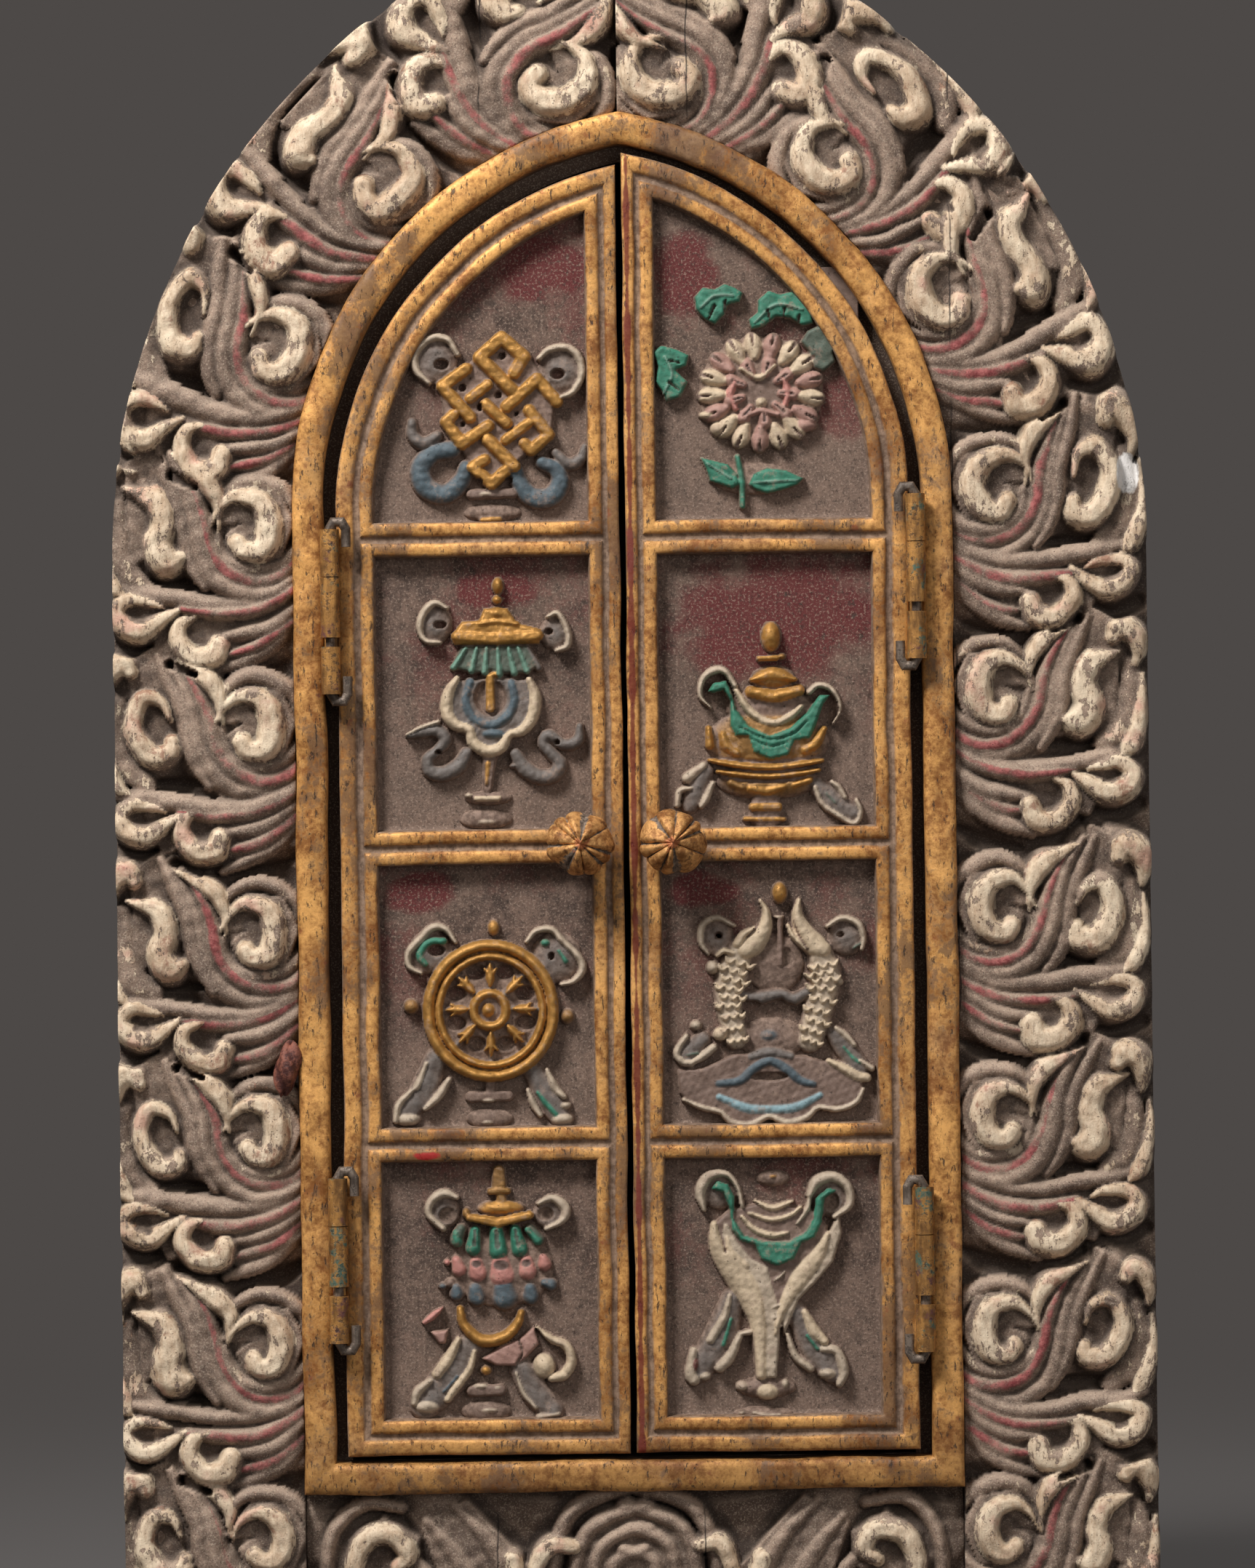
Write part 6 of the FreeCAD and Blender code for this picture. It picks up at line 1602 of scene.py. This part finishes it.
PARASOL = (-45.7, 119.5, """
mound grey 3 -16.3,29,5.2,5.4;
mound grey 3 17.4,27.9,5.5,4.8;
sink dark 1.4 -15,27.9,3,2.7;
sink dark 1.4 16.1,27.9,2.9,2.3;
ridge pale 4.8 -12.1,33.6,0.9 -16.1,35,1.5 -20.2,32.5,1.3 -20.9,28,1.2 -16.6,23.8,1.1;
ridge pale 4.8 13.8,31.4,0.7 18.4,33,1.3 22.3,30,1.7 21.6,26.1,1.3 16.3,23.2,0.8;
bar brass 3.6 1.4,42,2.1 1.4,37.5,2.6;
bar brass 4.2 -1.3,35.4,1.3 4.1,35.5,1.3;
bar brass 3.8 2,34.1,1.8 2.1,32,2;
mound gold 4.9 2,30,7.9,2.9;
sink dust 4 -5.8,28.9,0.4 1.8,28,0.4 8,29.1,0.4;
bar gold 5.6 -8,27.2,1.4 0.9,25.5,1.8 10.9,27.7,1.5;
mound brass 4.4 -9.1,28.6,1.6,2;
mound dust 2.8 2,10.7,16.6,12.5;
ridge moss 4.2 -10.9,23.6,1.6 -12.5,20,2;
ridge moss 4.2 11.2,23.6,1.4 13.8,19.8,2;
ridge green 5 -12.5,22.3,1.1 -12.1,19.5,1.8;
ridge green 5 -6.4,23,1.6 -7,17.4,2.4;
ridge green 5.3 0.4,22.8,2.1 0.9,16.4,2.9;
ridge green 5.1 6.4,23,1.8 7.7,17,2.6;
ridge green 5 10.3,23.2,1.1 13.6,19.5,1.6;
sink moss 4.4 -6.4,23.2,0.4 -6.6,18.6,0.7;
sink moss 4.6 0.4,23,0.6 0.8,17.9,0.9;
sink moss 4.5 6.4,23.2,0.5 7.3,18.4,0.7;
sink dust 2.6 -2.9,22.7,0.3 -3.4,15.5,0.4;
sink dust 2.6 3.9,22.7,0.3 4.6,15.2,0.4;
ridge pink 4.4 -12.5,13.8,1.4 -11.6,10.7,2.3;
ridge pink 4.5 -6.1,12.7,2.1 -5.6,9.5,2.9;
ridge pink 4.7 1.6,12.5,3 2,8.9,4;
ridge pink 4.5 9.8,13,2.1 10.2,9.8,2.9;
ridge pink 4.4 15.2,14.1,1.4 15.7,12,2.2;
mound pink 3.8 -15.4,13,1.3,1.3;
sink grime 3.9 -6.1,12.5,1.8,1.3;
sink grime 4.1 1.8,12,2.9,1.8;
sink grime 3.9 9.8,12.5,1.8,1.3;
ridge blue 3.8 -12.7,4.9,1.4 -12.5,2.9,2.2;
ridge blue 3.9 -6.6,4.5,2.1 -6.1,1.8,2.8;
ridge blue 4 2.5,4.5,3.4 2.9,1.8,4.1;
ridge blue 3.9 10.9,4.3,2 11.1,1.8,2.6;
ridge blue 3.8 15.4,6.1,1.3 17.5,5.5,2.1;
mound blue 3.4 -17,5.4,1.6,1.3;
mound dust 3.2 -14.6,6.3,2,1.8;
ridge grey 3.2 -8.9,-14.3,3.9 -16.1,-25,5.2 -23.2,-32.6,4.3;
ridge grey 3.2 8,-21.4,3.6 12.5,-29.5,4.1 17.9,-34.8,3;
ridge cream 4.6 -12.1,-11.6,1 -15.2,-17.4,1.9 -18.9,-22.5,1.8;
ridge pale 4.4 -21.3,-24.7,1.1 -25.2,-28.1,1.6 -26.4,-31.7,1.1;
ridge cream 4.4 -7,-15.4,0.9 -8.9,-21.4,1.3 -13.4,-27.2,1.5 -15.9,-30.8,1.2;
mound pale 4.5 -22.5,-32.9,4.8,2.7;
ridge blue 3.8 -12.5,-23.2,0.6 -17,-28.1,0.7;
ridge pink 4.2 -17,-1.4,0.4 -20,-3.9,1.2 -22.9,-6.1,0.8;
patch rose 4 -21.6,-8.8 -15,-8.2 -16.1,-13 -18.3,-13.2;
patch rose 3.9 -5.2,-17.9 0.9,-13.9 7,-11.4 12.1,-7.5 13.8,-13.4 9.8,-17.7 6.1,-20.5 0,-20.4;
sink dust 2.8 7,-11.8,0.3 8.2,-16.1,0.4 6.3,-19.5,0.4;
ridge cream 4.7 12.7,-7.7,0.4 17.4,-11.8,1.3 22,-13.9,1.5 23.8,-18.9,1.6 21.4,-23.2,1.8
  17.4,-24.3,1.4;
mound cream 5.4 15,-20.4,3.9,4.5;
ridge pale 4 6.1,-22.5,0.5 8.4,-29,0.9 12.1,-33.6,0.8;
ridge pale 4 13.4,-36.6,1.3 19.6,-35.7,0.6;
mound gold 4 -3.4,-21.6,2.1,1.8;
bar dust 3.4 -7.9,-28.2,2 1.1,-27.9,2;
mound pale 4 -5.2,-26.6,3,1.2;
mound pale 3.8 0.2,-27,1.8,0.9;
mound dust 2.8 -3.6,-34.7,8.2,3.8;
mound pale 3.4 -2.5,-34.3,4.3,1.2;
sink dust 0.6 -1.8,-6.3,5.9,3.9;
ridge gold 5.4 -11.4,-1.8,1.2 -10.2,-7.1,1.6 -4.3,-12.1,2 2.7,-10.9,1.9 6.8,-6.6,1.5 8,-3.2,1.1
""")
CONCH = (41, 122.2, """
patch pale 4.3 -14.2,22.7 -15.1,18 -12.3,8.8 -4.9,-2.3 -3.1,-9.7 -2.1,-20.8 -1.2,-28.2 2.5,-28.2
  3.4,-19 4,-9.7 3.4,-4.2 1.6,2.3 0.3,7.9 -4.9,10.6 -9.5,16.2 -12.3,21.7;
patch pale 4.3 22.8,25.4 23.8,18 21,8.8 15.4,2.3 9.9,-3.2 7.1,-9.7 4.7,-15.3 3.6,-8 5.3,-1 9.9,6
  15.4,12.5 20.1,19.9;
mound grey 3 -15,31.6,6.4,5.9;
mound grey 3 20.5,29.3,6.4,6.4;
sink dark 1 20.5,28,2.7,3;
ridge grey 3.2 -11.6,-2.7,3.2 -15.2,-13.4,4.6 -22.3,-25,3.9;
ridge grey 3.2 9.1,-7.1,3 14.3,-17.9,4.5 20.5,-25.9,3.9;
patch dust 3.8 -17.7,21.4 -17.7,13.4 -12.5,1.8 -6.3,-8 -4.5,-28.1 -0.7,-28.1 2.7,-15.2 7.1,-4.5
  14.3,4.5 19.2,13.4 19.2,20.5 14.3,25.9 -0.9,28.6 -12.5,25.9;
ridge cream 5.3 -17.1,21.3,1.1 -15.9,14.3,2.7 -10.5,7.1,4.6 -5.5,-0.9,4.5 -2.9,-11.6,2.9
  -2.5,-26.8,1.8;
ridge cream 5.3 19.1,17.7,1.1 15.9,10.9,3 10.7,4.5,3.8 5.9,-2.9,2.5 2.9,-9.8,1.3 2,-13.8,0.7;
ridge cream 5 -13,17.3,0.8 -11.6,12.5,1.6 -7.1,8,1.8;
sink dust 3.8 -14.5,17,0.3 -13.4,12.5,0.4;
mound dust 4.2 2.5,2.7,4.3,4.6;
ridge pale 4.8 2,3.4,0.4 3.8,4.5,0.6 5,5.9,0.4;
ridge pale 4.9 1.4,-5.2,0.6 6.3,-3.8,0.7;
ridge pale 4.9 1.6,-8.6,0.6 4.8,-7.5,0.7;
ridge pale 4.8 1.6,-12,0.5 3.8,-11.1,0.6;
ridge cream 4.9 -3.9,28.6,0.5 1.8,26.3,1.3 8,28.4,0.5;
ridge cream 4.9 -5.7,24.8,0.7 0.9,22.7,1.1 7.1,23.9,1 10.7,26.6,0.5;
ridge cream 5 -8.2,23.9,0.7 -4.5,19.8,1.2 1.3,17.7,1.3 6.3,18.4,0.6;
ridge pale 4.9 13.4,29.3,0.7 12.7,25.9,0.9 9.5,21.4,0.6;
ridge pale 5 -20.1,25.9,0.8 -21.3,31.4,1.7 -18.6,36.4,1.7 -13,37.3,1.1 -9.3,32.9,0.8
  -7.9,26.8,0.7;
ridge pale 5 13.4,30.2,1.1 15.9,34.5,1.9 21.1,35.9,1.8 25.7,32.5,1.5 26.1,26.8,1.3 21.3,23.2,0.8;
patch green 5.9 -18,32.5 -15.9,35.5 -12.3,34.1 -10.2,29.8 -10.5,23.2 -7.5,18 -1.3,16.1 6.3,15.9
  11.6,18.4 14.6,23.2 15.2,29.3 19.3,32.7 22.5,31.6 18.4,29.1 17.5,21.4 15.2,16.6 10.9,14.8
  8.4,9.8 3,7.6 -2.1,9.6 -4.5,14.5 -8.9,15.9 -11.6,19.5 -12,25.9 -14.3,31.3;
mound cream 6 2.5,13.4,0.6,0.7;
ridge pale 4.4 -12.3,-1.4,0.8 -14.1,-8,1.5 -18.6,-15.5,1.6;
ridge green 3.9 -12,-8.9,0.8 -14.5,-17,0.9;
ridge pale 4.4 -9.3,-14.5,1.1 -12.5,-20.9,1.8 -15.7,-24.3,1.8;
ridge pale 4.6 -24.1,-18.8,1.3 -25,-25.9,2 -24.1,-28.1,2;
mound rust 4.8 -23.8,-23,1.5,3.4;
mound pale 4.2 -20.5,-27,2.3,1.8;
ridge cream 4.5 11.4,-7,1.1 14.1,-12.7,2.1 17.5,-16.4,1.6;
ridge pale 4.4 5.9,-14.1,0.8 8.4,-21.1,1.3 13,-25,1.4;
ridge pale 4.5 17,-18.8,1.3 21.4,-19.6,1.6 23.6,-25.9,1.8 22.3,-30,1.3;
mound pale 4.4 18.6,-26.6,3.6,2.3;
ridge green 3.9 12.1,-14.5,0.7 15.4,-18.8,0.8;
mound dust 3.4 -0.9,-30.9,9.6,3.6;
mound pale 3.8 -8.8,-30.4,2.3,2;
mound cream 4.9 -0.7,-32,4.3,3.2;
mound pale 3.8 5,-29.7,1.4,2;
mound dust 2.4 -2.2,-39.3,9.8,2.5;
ridge pale 3.2 -5.2,-38.9,0.7 -0.9,-39.8,1 3.2,-39.7,0.7;
mound pale 3 -8.9,-38.9,1.4,0.9;
mound gold 3.2 2,36.4,2,0.7;
mound dust 2.6 2,35.7,5.4,2.7;
ridge pale 4.4 -9.3,-13.6,0.7 -6.3,-13.2,1.1
""")


def strokes_of(text):
    """Reads an emblem's strokes: each has its kind, paint and height, and the rows of its
    path, and ends at a semicolon."""
    strokes = []
    for stroke in text.split(";"):
        kind, tone, tall, *rows = stroke.split()
        path = [[float(value) for value in row.split(",")] for row in rows]
        strokes.append((kind, tone, float(tall), path))
    return strokes


def make_emblem(name, side, drawing, seed):
    """Draws the strokes in order, later ones over earlier ones, and closes the sheet."""
    across, up, text = drawing
    strokes = strokes_of(text)
    emblem = Emblem(strokes)
    for entry in strokes:
        emblem.draw(*entry)
    x, z = emblem.x + across, emblem.z + up
    raised = np.clip(emblem.height / 3, 0, 1)
    emblem.height += raised * (0.22 * uneven(x, z, 1.2, seed) + 0.15 * uneven(x, z, 0.5, seed + 1))
    sheet_mesh(f"emblem_{name}", x, z, emblem.height, emblem.tone, FLOOR_Y, 1.5, emblem_finish,
               f"{side}_door")


EMBLEMS = (("knot", KNOT), ("lotus", LOTUS), ("banner", BANNER), ("vase", VASE),
           ("wheel", WHEEL), ("fishes", FISHES), ("parasol", PARASOL), ("conch", CONCH))
for number, (name, drawing) in enumerate(EMBLEMS):
    make_emblem(name, ("left", "right")[number % 2], drawing, 61 + number)


# Floor and backdrop
# A plain dark floor that fades into the same warm grey as the surroundings show to the camera.
BACKDROP = rgb(77, 73, 71)
floor_mesh = bpy.data.meshes.new("floor")
floor_mesh.from_pydata([(-8, -8, 0), (8, -8, 0), (8, 8, 0), (-8, 8, 0)], [], [(0, 1, 2, 3)])
floor = bpy.data.objects.new("floor", floor_mesh)
bpy.context.collection.objects.link(floor)
floor_finish, floor_shader, floor_place = new_finish("grey_floor")
floor_shader.inputs["Base Color"].default_value = BACKDROP
floor_shader.inputs["Roughness"].default_value = 0.9
away = floor_place.node("ShaderNodeVectorMath", {0: floor_place}, out=1, operation="LENGTH")
backdrop = away.node("ShaderNodeEmission", {"Color": BACKDROP})
faded = away.node("ShaderNodeMixShader", {0: away.step(0.25, 1.5),
                                          1: Value(floor_shader.outputs[0], away.tree),
                                          2: backdrop})
away.tree.links.new(faded.socket, away.tree.nodes["Material Output"].inputs["Surface"])
floor_mesh.materials.append(floor_finish)
world = bpy.data.worlds.new("world")
bpy.context.scene.world = world
world.use_nodes = True
soft_sky = world.node_tree.nodes["Background"]
soft_sky.inputs["Color"].default_value = (0.62, 0.62, 0.62, 1)
soft_sky.inputs["Strength"].default_value = 0.5
sky = Value(soft_sky.outputs[0], world.node_tree)
rays = sky.node("ShaderNodeLightPath", out="Is Camera Ray")
seen = rays.largest(Value(rays.socket.node.outputs["Is Glossy Ray"], world.node_tree))
shown = sky.node("ShaderNodeBackground", {"Color": BACKDROP, "Strength": 1.0})
both = sky.node("ShaderNodeMixShader", {0: seen, 1: sky, 2: shown})
world.node_tree.links.new(both.socket, world.node_tree.nodes["World Output"].inputs["Surface"])
bpy.context.scene.view_settings.view_transform = "Standard"
